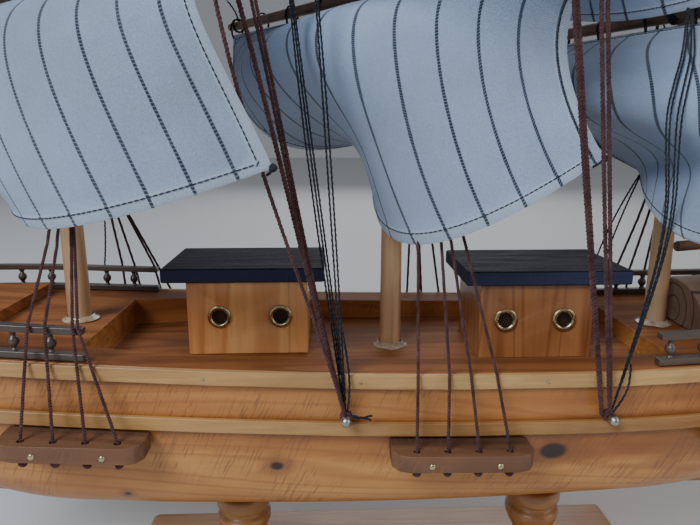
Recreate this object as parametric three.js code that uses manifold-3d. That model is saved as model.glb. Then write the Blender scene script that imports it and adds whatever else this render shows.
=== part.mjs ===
// Wooden model of a three-masted square-rigged ship, standing on its display stand.
// Millimetres, +Z up, +X towards the stern, +Y to starboard.
// Origin on the table, in the middle of the stand's base board, under the main mast.
import * as THREE from 'three';
import { mergeVertices } from 'three/addons/utils/BufferGeometryUtils.js';
import Module from 'manifold-3d';

const wasm = await Module();
wasm.setup();

// Driving dimensions
const RIM = 114;            // height of the hull's rim at the main mast
const SHEER_LOW_X = 60;     // where the rim is lowest
const SHEER_FORE = 0.00015; // how fast the rim rises towards the bow, per mm
const SHEER_AFT = 0.0003;   // the same towards the stern
const GAP = 0.3;            // clearance between glued or fitted pieces
const STRIP_PROUD = 2;      // how far the pale strips stand out of the hull
const WELL_DEPTH = 7.5;     // sunk deck below the rim
const WELL_FORE_X = -105;
const WELL_AFT_X = 91;
const STERN_X = 175;

// Stand
const BASE = { length: 213, width: 71, thick: 12, bevel: 3 };
const POST_X = [-58.5, 60];
const POST_RADIUS = 11;

// Masts: name, place along the hull, radius at the foot and top, height of the top above the rim
const MASTS = [
  { name: 'fore', x: -116.5, rFoot: 4.2, rTop: 2.6, top: 272 },
  { name: 'main', x: 0, rFoot: 4, rTop: 2.6, top: 288 },
  { name: 'mizzen', x: 103, rFoot: 4, rTop: 2.4, top: 238 },
];

const COLOURS = {
  pine: 0xc8864a, palePine: 0xd9b27a, greyBrown: 0x7a6152, mauveBrown: 0x8a6250,
  navy: 0x1b1f2e, brass: 0xb08d4a, cotton: 0xd9dde4, cord: 0x4a2c2a, spar: 0x9a7448,
  tan: 0xb98a5c,
};
const ROUGHNESS = { brass: 0.35, navy: 0.85, cotton: 0.95, cord: 0.9 };
const METALNESS = { brass: 0.9 };

const ship = new THREE.Group();

function add(name, geometry, colour) {
  const material = new THREE.MeshStandardMaterial({
    color: COLOURS[colour], roughness: ROUGHNESS[colour] ?? 0.6, metalness: METALNESS[colour] ?? 0,
  });
  const mesh = new THREE.Mesh(geometry, material);
  mesh.name = name;
  ship.add(mesh);
  return mesh;
}

// Geometry helpers
function toSolid(geometry) {
  const bare = geometry.clone();
  bare.deleteAttribute('normal');
  bare.deleteAttribute('uv');
  const merged = mergeVertices(bare, 1e-4);
  const vertProperties = new Float32Array(merged.attributes.position.array);
  const triVerts = new Uint32Array(merged.index.array);
  return new wasm.Manifold(new wasm.Mesh({ numProp: 3, vertProperties, triVerts }));
}

function toGeometry(solid) {
  const mesh = solid.getMesh();
  const geometry = new THREE.BufferGeometry();
  geometry.setAttribute('position', new THREE.BufferAttribute(new Float32Array(mesh.vertProperties), 3));
  geometry.setIndex(new THREE.BufferAttribute(new Uint32Array(mesh.triVerts), 1));
  return geometry;
}

// A closed body through rings of points, each ring listed in the same turn
function loft(rings) {
  const count = rings[0].length;
  const points = rings.flat();
  const index = [];
  for (let i = 0; i < rings.length - 1; i += 1) {
    for (let j = 0; j < count; j += 1) {
      const a = i * count + j;
      const b = i * count + (j + 1) % count;
      index.push(a, b, a + count, b, b + count, a + count);
    }
  }
  const last = (rings.length - 1) * count;
  for (let j = 1; j < count - 1; j += 1) {
    index.push(0, j + 1, j);
    index.push(last, last + j, last + j + 1);
  }
  return facingOut(points, index);
}

function facingOut(points, index) {
  let volume = 0;
  const p = (k) => new THREE.Vector3(...points[k]);
  for (let k = 0; k < index.length; k += 3) {
    volume += p(index[k]).dot(p(index[k + 1]).cross(p(index[k + 2])));
  }
  if (volume < 0) {
    for (let k = 0; k < index.length; k += 3) {
      [index[k + 1], index[k + 2]] = [index[k + 2], index[k + 1]];
    }
  }
  const geometry = new THREE.BufferGeometry();
  geometry.setAttribute('position', new THREE.Float32BufferAttribute(points.flat(), 3));
  geometry.setIndex(index);
  return geometry;
}

// A round rod between two points
function rod(from, to, rFrom, rTo, sides = 10) {
  const a = new THREE.Vector3(...from);
  const b = new THREE.Vector3(...to);
  const along = b.clone().sub(a);
  const geometry = new THREE.CylinderGeometry(rTo, rFrom, along.length(), sides, 1);
  geometry.translate(0, along.length() / 2, 0);
  geometry.applyQuaternion(new THREE.Quaternion().setFromUnitVectors(
    new THREE.Vector3(0, 1, 0), along.clone().normalize()));
  geometry.translate(a.x, a.y, a.z);
  return geometry;
}

// A turned piece about Z, from a profile of [radius, height]
function turned(profile, sides) {
  const geometry = new THREE.LatheGeometry(profile.map(([r, z]) => new THREE.Vector2(r, z)), sides);
  geometry.rotateX(Math.PI / 2);
  return toGeometry(toSolid(geometry));
}

// A flat piece of even thickness, with round holes through it
const HOLE_SIDES = 8;
function plate(outline, holes, zLow, zHigh) {
  const corners = outline.map(([x, y]) => new THREE.Vector2(x, y));
  if (THREE.ShapeUtils.isClockWise(corners)) corners.reverse();
  const shape = new THREE.Shape(corners);
  for (const hole of holes) {
    const circle = Array.from({ length: HOLE_SIDES }, (_, i) => {
      const a = -2 * Math.PI * i / HOLE_SIDES;
      return new THREE.Vector2(hole.x + hole.r * Math.cos(a), hole.y + hole.r * Math.sin(a));
    });
    shape.holes.push(new THREE.Path(circle));
  }
  const geometry = new THREE.ExtrudeGeometry(shape, { depth: zHigh - zLow, bevelEnabled: false });
  geometry.translate(0, 0, zLow);
  return geometry;
}

// Hull: the rim's height and the sections
function rimZ(x) {
  const rise = x < SHEER_LOW_X ? SHEER_FORE : SHEER_AFT;
  const atMain = SHEER_FORE * SHEER_LOW_X ** 2;
  return RIM - atMain + rise * (x - SHEER_LOW_X) ** 2;
}

// x, half beam at the rim, half breadth and depth of the bilge, half breadth and depth of the floor
const SECTIONS = [
  { x: -206, beam: 2, bilge: 1.6, bilgeZ: -14, floor: 1, floorZ: -22 },
  { x: -198, beam: 14, bilge: 8, bilgeZ: -25, floor: 2.5, floorZ: -36 },
  { x: -185, beam: 26, bilge: 16, bilgeZ: -34, floor: 5, floorZ: -47 },
  { x: -165, beam: 35, bilge: 26, bilgeZ: -41, floor: 9, floorZ: -57 },
  { x: -140, beam: 41, bilge: 35.5, bilgeZ: -46.5, floor: 14, floorZ: -62 },
  { x: -119, beam: 42.8, bilge: 38.6, bilgeZ: -49.4, floor: 17, floorZ: -63 },
  { x: -90, beam: 44.1, bilge: 40.5, bilgeZ: -49.2, floor: 18, floorZ: -62.5 },
  { x: -60, beam: 45.2, bilge: 42, bilgeZ: -48.2, floor: 19, floorZ: -62 },
  { x: 0, beam: 46.8, bilge: 43.5, bilgeZ: -46.4, floor: 19, floorZ: -61 },
  { x: 60, beam: 46, bilge: 42.5, bilgeZ: -44.8, floor: 18, floorZ: -59 },
  { x: 100, beam: 43.6, bilge: 39.5, bilgeZ: -44.2, floor: 15, floorZ: -58 },
  { x: 140, beam: 38.5, bilge: 31, bilgeZ: -38.5, floor: 9, floorZ: -53 },
  { x: STERN_X, beam: 32, bilge: 25, bilgeZ: -26, floor: 4, floorZ: -38 },
];

// Smooth value of one column of the sections at x
function column(key, x) {
  let i = SECTIONS.findIndex((s, k) => k > 0 && x <= s.x);
  if (i < 0) i = SECTIONS.length - 1;
  const [a, b] = [SECTIONS[i - 1], SECTIONS[i]];
  const before = SECTIONS[Math.max(0, i - 2)];
  const after = SECTIONS[Math.min(SECTIONS.length - 1, i + 1)];
  const slopeA = (b[key] - before[key]) / (b.x - before.x);
  const slopeB = (after[key] - a[key]) / (after.x - a.x);
  const width = b.x - a.x;
  const t = (x - a.x) / width;
  const rise = 3 * t ** 2 - 2 * t ** 3;
  const leave = t ** 3 - 2 * t ** 2 + t;
  const arrive = t ** 3 - t ** 2;
  return (1 - rise) * a[key] + rise * b[key] + width * (leave * slopeA + arrive * slopeB);
}

const STATIONS = [];
for (let i = 0; i < SECTIONS.length - 1; i += 1) {
  const steps = SECTIONS[i + 1].x - SECTIONS[i].x > 30 ? 3 : 2;
  for (let k = 0; k < steps; k += 1) {
    STATIONS.push(THREE.MathUtils.lerp(SECTIONS[i].x, SECTIONS[i + 1].x, k / steps));
  }
}
STATIONS.push(STERN_X);

const SIDE_FOOT = -22; // depth to which the hull's side stands upright

// Half breadth of the bare hull at x, at a depth under the rim
function sideY(x, depth = 0) {
  const beam = column('beam', x);
  if (depth >= SIDE_FOOT) return beam;
  const t = (depth - SIDE_FOOT) / (column('bilgeZ', x) - SIDE_FOOT);
  return THREE.MathUtils.lerp(beam, column('bilge', x), Math.min(Math.max(t, 0), 1));
}

function hullRing(x) {
  const top = rimZ(x);
  const beam = column('beam', x);
  const foot = Math.max(SIDE_FOOT, column('bilgeZ', x) * 0.6);
  const half = [
    [beam, 0], [beam, foot], [column('bilge', x), column('bilgeZ', x)],
    [(column('bilge', x) + column('floor', x)) / 2, (column('bilgeZ', x) + column('floorZ', x)) / 2],
    [column('floor', x), column('floorZ', x)],
  ];
  const port = half.map(([y, z]) => [x, -y, top + z]);
  const starboard = half.map(([y, z]) => [x, y, top + z]).reverse();
  return [...port, ...starboard];
}

function stations(from, to) {
  return [from, ...STATIONS.filter((x) => x > from + 2 && x < to - 2), to];
}

// Well: the deck's sunk middle, x and half width of its outline
const WELL = [
  [WELL_FORE_X, 28], [-82, 32], [-60, 33.5], [0, 34.2], [60, 33.5], [WELL_AFT_X, 31.5],
];
const FLOOR_Z = RIM - WELL_DEPTH;

// Bowsprit: heel inside the hull, tip ahead of the bow
const BOWSPRIT = {
  heelX: -172, tipX: -292, passX: -204, rise: Math.tan(THREE.MathUtils.degToRad(19)), r: 3.6, tipR: 2.2,
};
function bowspritZ(x) {
  return rimZ(BOWSPRIT.passX) + 3 + (BOWSPRIT.passX - x) * BOWSPRIT.rise;
}
function bowspritBore() {
  const r = BOWSPRIT.r + GAP;
  const heel = BOWSPRIT.heelX + 1;
  return toSolid(rod([heel, 0, bowspritZ(heel)], [-240, 0, bowspritZ(-240)], r, r, 12));
}

function buildHull() {
  const body = toSolid(loft(STATIONS.map(hullRing)));
  const outline = [...WELL.map(([x, y]) => [x, -y]), ...WELL.map(([x, y]) => [x, y]).reverse()];
  const well = toSolid(plate(outline, [], FLOOR_Z, RIM + 30));
  const cut = body.subtract(well).subtract(bowspritBore());
  add('hull', toGeometry(cut), 'pine');
}

// Keel strip under the hull, curving up into the stem
const KEEL_HALF = 2.5;
const KEEL_END = 148;
function buildKeel() {
  const head = rimZ(-206) - 2;
  const outer = [[-214, head], [-213, 96], [-203, 76], [-186, 61], [-160, 50], [-128, 46], [132, 46],
    [KEEL_END, 52], [KEEL_END, rimZ(KEEL_END) + column('floorZ', KEEL_END) - 2 * GAP]];
  const inner = [];
  for (const x of [...STATIONS].filter((s) => s < KEEL_END).reverse()) {
    inner.push([x, rimZ(x) + column('floorZ', x) - GAP]);
  }
  inner.push([-206 - GAP, head]);
  const shape = new THREE.Shape([...outer, ...inner].map(([x, z]) => new THREE.Vector2(x, z)));
  const geometry = new THREE.ExtrudeGeometry(shape, { depth: KEEL_HALF * 2, bevelEnabled: false });
  geometry.translate(0, 0, -KEEL_HALF);
  geometry.rotateX(Math.PI / 2);
  add('keel', toGeometry(toSolid(geometry)), 'pine');
}

// Rudder under the counter, behind the keel's heel, and up the transom
function buildRudder() {
  const under = (x) => [x, rimZ(x) + column('floorZ', x) - GAP];
  const corner = under(STERN_X);
  const outline = [
    [KEEL_END + GAP, 54], [186, 54], [182, 76], [STERN_X + 2.5, 92], [STERN_X + 2.5, 104],
    [STERN_X + GAP, 104], [corner[0] + GAP, corner[1]], under(162), under(KEEL_END + GAP),
  ];
  const shape = new THREE.Shape(outline.map(([x, z]) => new THREE.Vector2(x, z)));
  const geometry = new THREE.ExtrudeGeometry(shape, { depth: 4, bevelEnabled: false });
  geometry.translate(0, 0, -2);
  geometry.rotateX(Math.PI / 2);
  add('rudder', geometry, 'pine');
}

// Raised plank of the forecastle, following the rim's rise
const PLANK = { foreX: -194, aftX: -141, thick: 4, inset: 9 };
function buildForePlank() {
  const xs = [PLANK.foreX, -188, -180, -170, -160, -150, PLANK.aftX];
  const edge = (x) => sideY(x) - PLANK.inset;
  const outline = [...xs.map((x) => [x, -edge(x)]), ...xs.map((x) => [x, edge(x)]).reverse()];
  const slab = plate(outline, [], 0, PLANK.thick);
  followRim(slab);
  add('fore_plank', toGeometry(toSolid(slab).subtract(bowspritBore())), 'pine');
}

// Lifts every point of a flat piece by the rim's height at its place
function followRim(geometry) {
  const position = geometry.attributes.position;
  for (let i = 0; i < position.count; i += 1) {
    position.setZ(i, position.getZ(i) + rimZ(position.getX(i)) + GAP);
  }
}

// Pale strips along the hull's side: name, height under the rim, height of the strip
const STRIPS = [
  { name: 'upper_strip', top: 0, tall: 4.7 },
  { name: 'lower_strip', top: -16, tall: 4.4 },
];
const SIDES = [{ name: 'port', sign: -1 }, { name: 'starboard', sign: 1 }];
function buildStrips() {
  for (const strip of STRIPS) {
    for (const side of SIDES) {
      const rings = stations(-203, STERN_X).map((x) => {
        const inner = side.sign * (sideY(x) + GAP);
        const outer = side.sign * (sideY(x) + STRIP_PROUD);
        const top = rimZ(x) + strip.top;
        const low = top - strip.tall;
        return [[x, inner, top], [x, outer, top], [x, outer, low], [x, inner, low]];
      });
      add(`${strip.name}_${side.name}`, loft(rings), 'palePine');
    }
  }
}

// Deckhouses on the sunk deck and their flat roofs: x and y ranges of the house, then of the roof
const HOUSES = [
  { name: 'fore', x: [-74.6, -31.2], y: [-9.4, 24], roofX: [-83, -25], roofY: [-11.5, 28] },
  { name: 'aft', x: [30, 71], y: [-17, 16], roofX: [24.5, 83], roofY: [-19.5, 20] },
];
const HOUSE_TALL = 27;
const ROOF_THICK = 5.2;
// Brass eyelets set into the front walls as portholes
const EYELET = { flange: 4.25, hole: 2.6, wall: 0.7, proud: 0.9, deep: 2.2, z: 14.6 };
const EYELET_X = { fore: [-63, -41], aft: [39.3, 60.3] };

function buildHouses() {
  const seatR = EYELET.hole + EYELET.wall + GAP;
  const seat = new THREE.CylinderGeometry(seatR, seatR, 2 * (EYELET.deep + GAP), 12);
  for (const house of HOUSES) {
    const box = new THREE.BoxGeometry(house.x[1] - house.x[0], house.y[1] - house.y[0], HOUSE_TALL);
    const [midX, midY] = [(house.x[0] + house.x[1]) / 2, (house.y[0] + house.y[1]) / 2];
    box.translate(midX, midY, FLOOR_Z + GAP + HOUSE_TALL / 2);
    let walls = toSolid(box);
    EYELET_X[house.name].forEach((x, i) => {
      const bore = seat.clone();
      bore.translate(x, house.y[0], FLOOR_Z + EYELET.z);
      walls = walls.subtract(toSolid(bore));
      buildEyelet(`eyelet_${house.name}_${i + 1}`, x, house.y[0]);
    });
    add(`house_${house.name}`, toGeometry(walls), 'pine');
    const roofZ = FLOOR_Z + HOUSE_TALL + 2 * GAP;
    const [x0, x1] = house.roofX;
    const [y0, y1] = house.roofY;
    const outline = [[x0, y0], [x1, y0], [x1, y1], [x0, y1]];
    add(`roof_${house.name}`, plate(outline, [], roofZ, roofZ + ROOF_THICK), 'navy');
  }
}

// A turned ring: barrel in the wall, rounded flange on its face
function buildEyelet(name, x, wallY) {
  const { hole, flange, proud, deep } = EYELET;
  const barrel = hole + EYELET.wall;
  const profile = [
    [hole, -deep], [barrel, -deep], [barrel, GAP], [flange, GAP], [flange - 0.2, proud * 0.7],
    [flange - 0.9, proud], [hole + 0.2, proud * 0.6], [hole, -deep],
  ];
  const ring = new THREE.LatheGeometry(profile.map(([r, h]) => new THREE.Vector2(r, h)), 14);
  ring.rotateX(Math.PI);
  const geometry = toGeometry(toSolid(ring));
  geometry.translate(x, wallY, FLOOR_Z + EYELET.z);
  add(name, geometry, 'brass');
}

// Rails: flat bars above and below turned balusters, along the rim's edge
const RAILS = [
  { name: 'fore', from: -190, to: -98.5 },
  { name: 'aft', from: 81, to: 172 },
];
const RAIL = {
  inset: 2.4, width: 3.4, foot: 2.6, tall: 11, bar: 2.2, spacing: 11, tenon: 1.1, neck: 0.8, belly: 1.5,
};

function railPoint(x, sign, height) {
  return [x, sign * (sideY(x) - RAIL.inset), rimZ(x) + height];
}

function railBar(rail, sign, low, high) {
  const rings = stations(rail.from, rail.to).map((x) => {
    const [, y, z] = railPoint(x, sign, 0);
    const half = RAIL.width / 2;
    return [[y - half, low], [y + half, low], [y + half, high], [y - half, high]]
      .map(([across, up]) => [x, across, z + up]);
  });
  return toSolid(loft(rings));
}

function baluster(x, sign) {
  const low = RAIL.foot - 0.6;
  const high = RAIL.tall - RAIL.bar + 0.6;
  const { tenon, neck, belly } = RAIL;
  const profile = [[0, 0], [tenon, 0], [tenon, 0.9], [neck, 1.5], [belly, 3.2], [neck, 5], [tenon, 5.9],
    [tenon, high - low], [0, high - low]];
  const geometry = new THREE.LatheGeometry(profile.map(([r, h]) => new THREE.Vector2(r, h)), 6);
  geometry.rotateX(Math.PI / 2);
  geometry.translate(...railPoint(x, sign, low));
  return toSolid(geometry);
}

function buildRails() {
  for (const rail of RAILS) {
    for (const side of SIDES) {
      let fence = railBar(rail, side.sign, GAP, RAIL.foot);
      fence = fence.add(railBar(rail, side.sign, RAIL.tall - RAIL.bar, RAIL.tall));
      for (let x = rail.from + 4; x < rail.to - 2; x += RAIL.spacing) {
        fence = fence.add(baluster(x, side.sign));
      }
      add(`rail_${rail.name}_${side.name}`, toGeometry(fence), 'greyBrown');
    }
  }
}

// Channels: drilled blocks under the lower strip that spread the shrouds, one each side of each mast
const CHANNEL = {
  length: 43.5, reach: 12, under: 21.8, tall: 5.4, taper: 4, hole: 1.1, pitch: 9.5, holeInset: 3.4,
};
const CHANNEL_AFT = { fore: 15, main: 17, mizzen: 17 }; // middle of the channel behind its mast
function buildChannels() {
  for (const mast of MASTS) {
    const centre = mast.x + CHANNEL_AFT[mast.name];
    for (const side of SIDES) {
      const from = centre - CHANNEL.length / 2;
      const to = centre + CHANNEL.length / 2;
      const inner = [0, 0.25, 0.5, 0.75, 1].map((t) => THREE.MathUtils.lerp(from, to, t));
      const reach = sideY(centre) + CHANNEL.reach;
      const round = [[0, CHANNEL.taper], [CHANNEL.taper * 0.5, 1], [CHANNEL.taper * 1.4, 0]];
      const outline = [
        ...inner.map((x) => [x, sideY(x) + GAP]),
        ...round.map(([back, less]) => [to - back, reach - less]),
        ...[...round].reverse().map(([back, less]) => [from + back, reach - less]),
      ].map(([x, y]) => [x, y * side.sign]);
      const holes = [-1.5, -0.5, 0.5, 1.5].map((k) => ({
        x: centre + k * CHANNEL.pitch, y: side.sign * (reach - CHANNEL.holeInset), r: CHANNEL.hole,
      }));
      const block = plate(outline, holes, -CHANNEL.under - CHANNEL.tall, -CHANNEL.under);
      followRim(block);
      add(`channel_${mast.name}_${side.name}`, toGeometry(toSolid(block)), 'mauveBrown');
    }
  }
}

// Masts: tapered round sticks with a small turned cap
function deckZ(x) {
  return x > WELL_FORE_X && x < WELL_AFT_X ? FLOOR_Z : rimZ(x);
}
function buildMasts() {
  for (const mast of MASTS) {
    const top = RIM + mast.top;
    const r = mast.rTop;
    const foot = deckZ(mast.x) + GAP;
    const profile = [[0, foot], [mast.rFoot, foot], [r, top - 6], [r + 0.6, top - 5], [r + 0.9, top - 3],
      [r - 0.2, top - 0.6], [0, top]];
    const stick = turned(profile, 14);
    stick.translate(mast.x, 0, 0);
    add(`mast_${mast.name}`, stick, 'spar');
  }
  const end = (x) => [x, 0, bowspritZ(x)];
  const { heelX, tipX, r, tipR } = BOWSPRIT;
  add('bowsprit', rod(end(heelX), end(tipX), r, tipR, 12), 'spar');
}

// Square sails hang from yards crossing the fore side of their mast. Each yard has its mast, height
// above the rim, degrees its port arm is swung aft, length of its starboard and port arm, and radius.
// A course is drawn aft at its lower corners: clews from the mast's foot at the rim, starboard first,
// then how far the foot, the two side edges and the middle swell from straight, the fore-and-aft fold
// in its starboard half, the tuck that gathers that half low down, and how hollow the port edge is near
// the yard. An upper sail is spread on the arms of the yard below, with one swell.
const YARDS = [
  { name: 'fore_course', mast: 0, z: 116, swing: 45, arms: [95, 101], r: 2.4,
    clews: [[-6, 43, 67.5], [79.5, -69.5, 64]], foot: [-27, -39, -18],
    edges: [[-25, -5, -17], [-4, 1, 6]], middle: [3.5, -12, 15.5],
    fold: -7, tuck: [-3, -4, -1], hollow: -3 },
  { name: 'fore_topsail', mast: 0, z: 186, swing: 43, arms: [72, 74], r: 2.1,
    below: 'fore_course', swell: 32 },
  { name: 'fore_topgallant', mast: 0, z: 242, swing: 41, arms: [52, 54], r: 1.8,
    below: 'fore_topsail', swell: 17 },
  { name: 'main_course', mast: 1, z: 118.6, swing: 39.1, arms: [99, 89], r: 2.4,
    clews: [[7.3, 59.5, 74.9], [58.1, -42.4, 64.9]], foot: [-33.6, -35.4, -31.9],
    edges: [[-14.8, -46.2, -25.3], [-13.0, 18.9, 16.2]], middle: [-12.4, -0.7, 17.3],
    fold: -8.5, tuck: [5.1, -5.4, 11.4], hollow: 7.1 },
  { name: 'main_topsail', mast: 1, z: 192, swing: 38, arms: [76, 72], r: 2.1,
    below: 'main_course', swell: 34 },
  { name: 'main_topgallant', mast: 1, z: 252, swing: 37, arms: [55, 53], r: 1.8,
    below: 'main_topsail', swell: 25 },
  { name: 'mizzen_course', mast: 2, z: 112.2, swing: 24.2, arms: [69, 69], r: 2.9,
    clews: [[3.1, 24.6, 58.1], [34.4, -59.7, 49.5]], foot: [-42.6, -41.2, -11.2],
    edges: [[-11, -18.9, -9.6], [-7.3, -14.9, 0.2]], middle: [-9.3, 7.7, -1.8],
    fold: -29.2, tuck: [-0.7, 19.4, 8.3], hollow: 9.7 },
  { name: 'mizzen_topsail', mast: 2, z: 178, swing: 22, arms: [53, 53], r: 1.9,
    below: 'mizzen_course', swell: 12, form: { foot: 0.1, hang: 10 } },
];
const CLOTH = 1.2;
const HEAD_INSET = 3;                                  // bare end of each yard arm outside the sail
const CLEW_SET = { inset: 9, ahead: 6, above: 9 };     // an upper sail's clews against the yard below
const UPPER_FORM = { foot: 1, edge: 0.35, middle: 0.35, hang: 3 }; // shares of the swell, then mm
const SAIL_STEPS = { across: 14, down: 10 };

function mastRadius(mast, height) {
  return THREE.MathUtils.lerp(mast.rFoot, mast.rTop, height / mast.top);
}

// Middle of a yard, its direction to port and the direction the sail swells
function yardFrame(yard) {
  const mast = MASTS[yard.mast];
  const swing = THREE.MathUtils.degToRad(yard.swing);
  const along = new THREE.Vector3(Math.sin(swing), -Math.cos(swing), 0);
  const ahead = new THREE.Vector3(-Math.cos(swing), -Math.sin(swing), 0);
  const off = mastRadius(mast, yard.z) + yard.r + GAP;
  const middle = new THREE.Vector3(mast.x, 0, RIM + yard.z).addScaledVector(ahead, off);
  return { along, ahead, middle };
}

// Corners and swells of a sail as vectors, starboard first
function sailShape(yard) {
  const { along, ahead, middle } = yardFrame(yard);
  const under = new THREE.Vector3(0, 0, -yard.r - GAP - CLOTH);
  const head = [-1, 1].map((sign, i) => (
    middle.clone().addScaledVector(along, sign * (yard.arms[i] - HEAD_INSET)).add(under)));
  if (yard.clews) {
    const vectors = (list) => list.map((v) => new THREE.Vector3(...v));
    const foot = new THREE.Vector3(MASTS[yard.mast].x, 0, RIM);
    return {
      head, clews: vectors(yard.clews).map((v) => v.add(foot)), foot: new THREE.Vector3(...yard.foot),
      edges: vectors(yard.edges), middle: new THREE.Vector3(...yard.middle), fold: yard.fold,
      tuck: new THREE.Vector3(...yard.tuck), hollow: yard.hollow,
    };
  }
  const below = YARDS.find((other) => other.name === yard.below);
  const lower = yardFrame(below);
  const clews = [-1, 1].map((sign, i) => lower.middle.clone()
    .addScaledVector(lower.along, sign * (below.arms[i] - CLEW_SET.inset))
    .addScaledVector(lower.ahead, CLEW_SET.ahead).add(new THREE.Vector3(0, 0, CLEW_SET.above)));
  const form = { ...UPPER_FORM, ...yard.form };
  const swell = (share) => ahead.clone().multiplyScalar(yard.swell * share);
  return {
    head, clews, foot: swell(form.foot).add(new THREE.Vector3(0, 0, -form.hang)),
    edges: [swell(form.edge), swell(form.edge)], middle: swell(form.middle), fold: 0,
    tuck: new THREE.Vector3(), hollow: 0,
  };
}

// A point of the sail: u from the starboard to the port edge, v from the yard down to the foot
const TUCK_PEAK = 45.6;   // brings the tuck's highest weight, at a third of u and two thirds of v, to 1
const HOLLOW_PEAK = 6.75; // the same for the hollow, at a third of v
function sailPoint({ head, clews, foot, edges, middle, fold, tuck, hollow }, u, v) {
  const across = 4 * u * (1 - u);
  const down = 4 * v * (1 - v);
  const point = head[0].clone().lerp(head[1], u).lerp(clews[0].clone().lerp(clews[1], u), v);
  point.addScaledVector(foot, across * v).addScaledVector(middle, across * down);
  point.addScaledVector(edges[0], (1 - u) * down).addScaledVector(edges[1], u * down);
  point.addScaledVector(tuck, TUCK_PEAK * u * (1 - u) ** 2 * v ** 2 * (1 - v));
  point.x += fold * 1.5 * (1 - u) * across * Math.sin(2 * Math.PI * v);
  point.x += hollow * HOLLOW_PEAK * u * v * (1 - v) ** 2;
  return point;
}

// Both faces of the cloth, half its thickness to either side of the drawn surface
function sailFaces(shape) {
  const step = 0.001;
  const face = (lift) => Array.from({ length: SAIL_STEPS.down + 1 }, (_, i) => (
    Array.from({ length: SAIL_STEPS.across + 1 }, (__, j) => {
      const [u, v] = [j / SAIL_STEPS.across, i / SAIL_STEPS.down];
      const across = sailPoint(shape, u + step, v).sub(sailPoint(shape, u - step, v));
      const down = sailPoint(shape, u, v + step).sub(sailPoint(shape, u, v - step));
      return sailPoint(shape, u, v).addScaledVector(across.cross(down).normalize(), lift);
    })));
  return [face(CLOTH / 2), face(-CLOTH / 2)];
}

// A thin closed sheet between two equal grids of points
function sheet(front, back) {
  const rows = front.length;
  const cols = front[0].length;
  const points = [...front.flat(), ...back.flat()].map((p) => [p.x, p.y, p.z]);
  const at = (layer, i, j) => layer * rows * cols + i * cols + j;
  const index = [];
  const quad = (a, b, c, d) => index.push(a, b, c, a, c, d);
  for (let i = 0; i < rows - 1; i += 1) {
    for (let j = 0; j < cols - 1; j += 1) {
      quad(at(0, i, j), at(0, i, j + 1), at(0, i + 1, j + 1), at(0, i + 1, j));
      quad(at(1, i, j), at(1, i + 1, j), at(1, i + 1, j + 1), at(1, i, j + 1));
    }
  }
  for (let j = 0; j < cols - 1; j += 1) {
    quad(at(0, 0, j), at(1, 0, j), at(1, 0, j + 1), at(0, 0, j + 1));
    quad(at(0, rows - 1, j), at(0, rows - 1, j + 1), at(1, rows - 1, j + 1), at(1, rows - 1, j));
  }
  for (let i = 0; i < rows - 1; i += 1) {
    quad(at(0, i, 0), at(0, i + 1, 0), at(1, i + 1, 0), at(1, i, 0));
    quad(at(0, i, cols - 1), at(1, i, cols - 1), at(1, i + 1, cols - 1), at(0, i + 1, cols - 1));
  }
  return facingOut(points, index);
}

function buildSquareSails() {
  for (const yard of YARDS) {
    const { along, middle } = yardFrame(yard);
    const arm = (sign, length) => toSolid(rod(middle.toArray(),
      middle.clone().addScaledVector(along, sign * length).toArray(), yard.r, yard.r * 0.7, 10));
    add(`yard_${yard.name}`, toGeometry(arm(-1, yard.arms[0]).add(arm(1, yard.arms[1]))), 'spar');
    add(`sail_${yard.name}`, sheet(...sailFaces(sailShape(yard))), 'cotton');
  }
}

// Fore-and-aft sails between four corners, first edge in the middle plane, blown a little to starboard
function flatSail(name, corners, lee, belly, steps = 6) {
  const [a, b, c, d] = corners.map(([x, z]) => new THREE.Vector3(x, 0, z));
  const layer = (lift) => Array.from({ length: steps + 1 }, (_, i) => (
    Array.from({ length: steps + 1 }, (__, j) => {
      const [u, v] = [j / steps, i / steps];
      const p = a.clone().lerp(b, u).lerp(d.clone().lerp(c, u), v);
      p.y = lee * v + belly * 16 * u * (1 - u) * v * (1 - v) + lift;
      return p;
    })));
  add(name, sheet(layer(CLOTH / 2), layer(-CLOTH / 2)), 'cotton');
}

// Gaff and boom behind the mizzen mast: inner end x, z above the rim, outer end
const GAFF = { from: [108.2, 132], to: [160, 160], r: 1.8 };
const BOOM = { from: [108.2, 30], to: [196, 36], r: 2 };
function buildSpanker() {
  for (const [name, spar] of [['gaff', GAFF], ['boom', BOOM]]) {
    const [from, to] = [spar.from, spar.to].map(([x, z]) => [x, 0, RIM + z]);
    add(name, rod(from, to, spar.r, spar.r * 0.75, 10), 'spar');
  }
  const edge = 2.8;
  const corner = (point, dx, dz) => [point[0] + dx, RIM + point[1] + dz];
  flatSail('sail_spanker', [
    corner(GAFF.from, edge, -edge), corner(GAFF.to, -edge, -2 * edge),
    corner(BOOM.to, -edge * 2, edge), corner(BOOM.from, edge, edge),
  ], 0, 7);
}

// Main stays in the middle plane: lower end x and z, upper end x and height above the rim
const STAY_R = 0.7;
const onBowsprit = (x) => [x, bowspritZ(x) + 3.4];
const STAYS = [
  { name: 'stay_outer_jib', low: onBowsprit(-285), high: [-119.9, RIM + 264] },
  { name: 'stay_inner_jib', low: onBowsprit(-248), high: [-120.9, RIM + 132] },
  { name: 'stay_main', low: [-112.6, RIM + 198], high: [-3.4, RIM + 276] },
  { name: 'stay_mizzen', low: [4, RIM + 140], high: [99.8, RIM + 226] },
];
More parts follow.
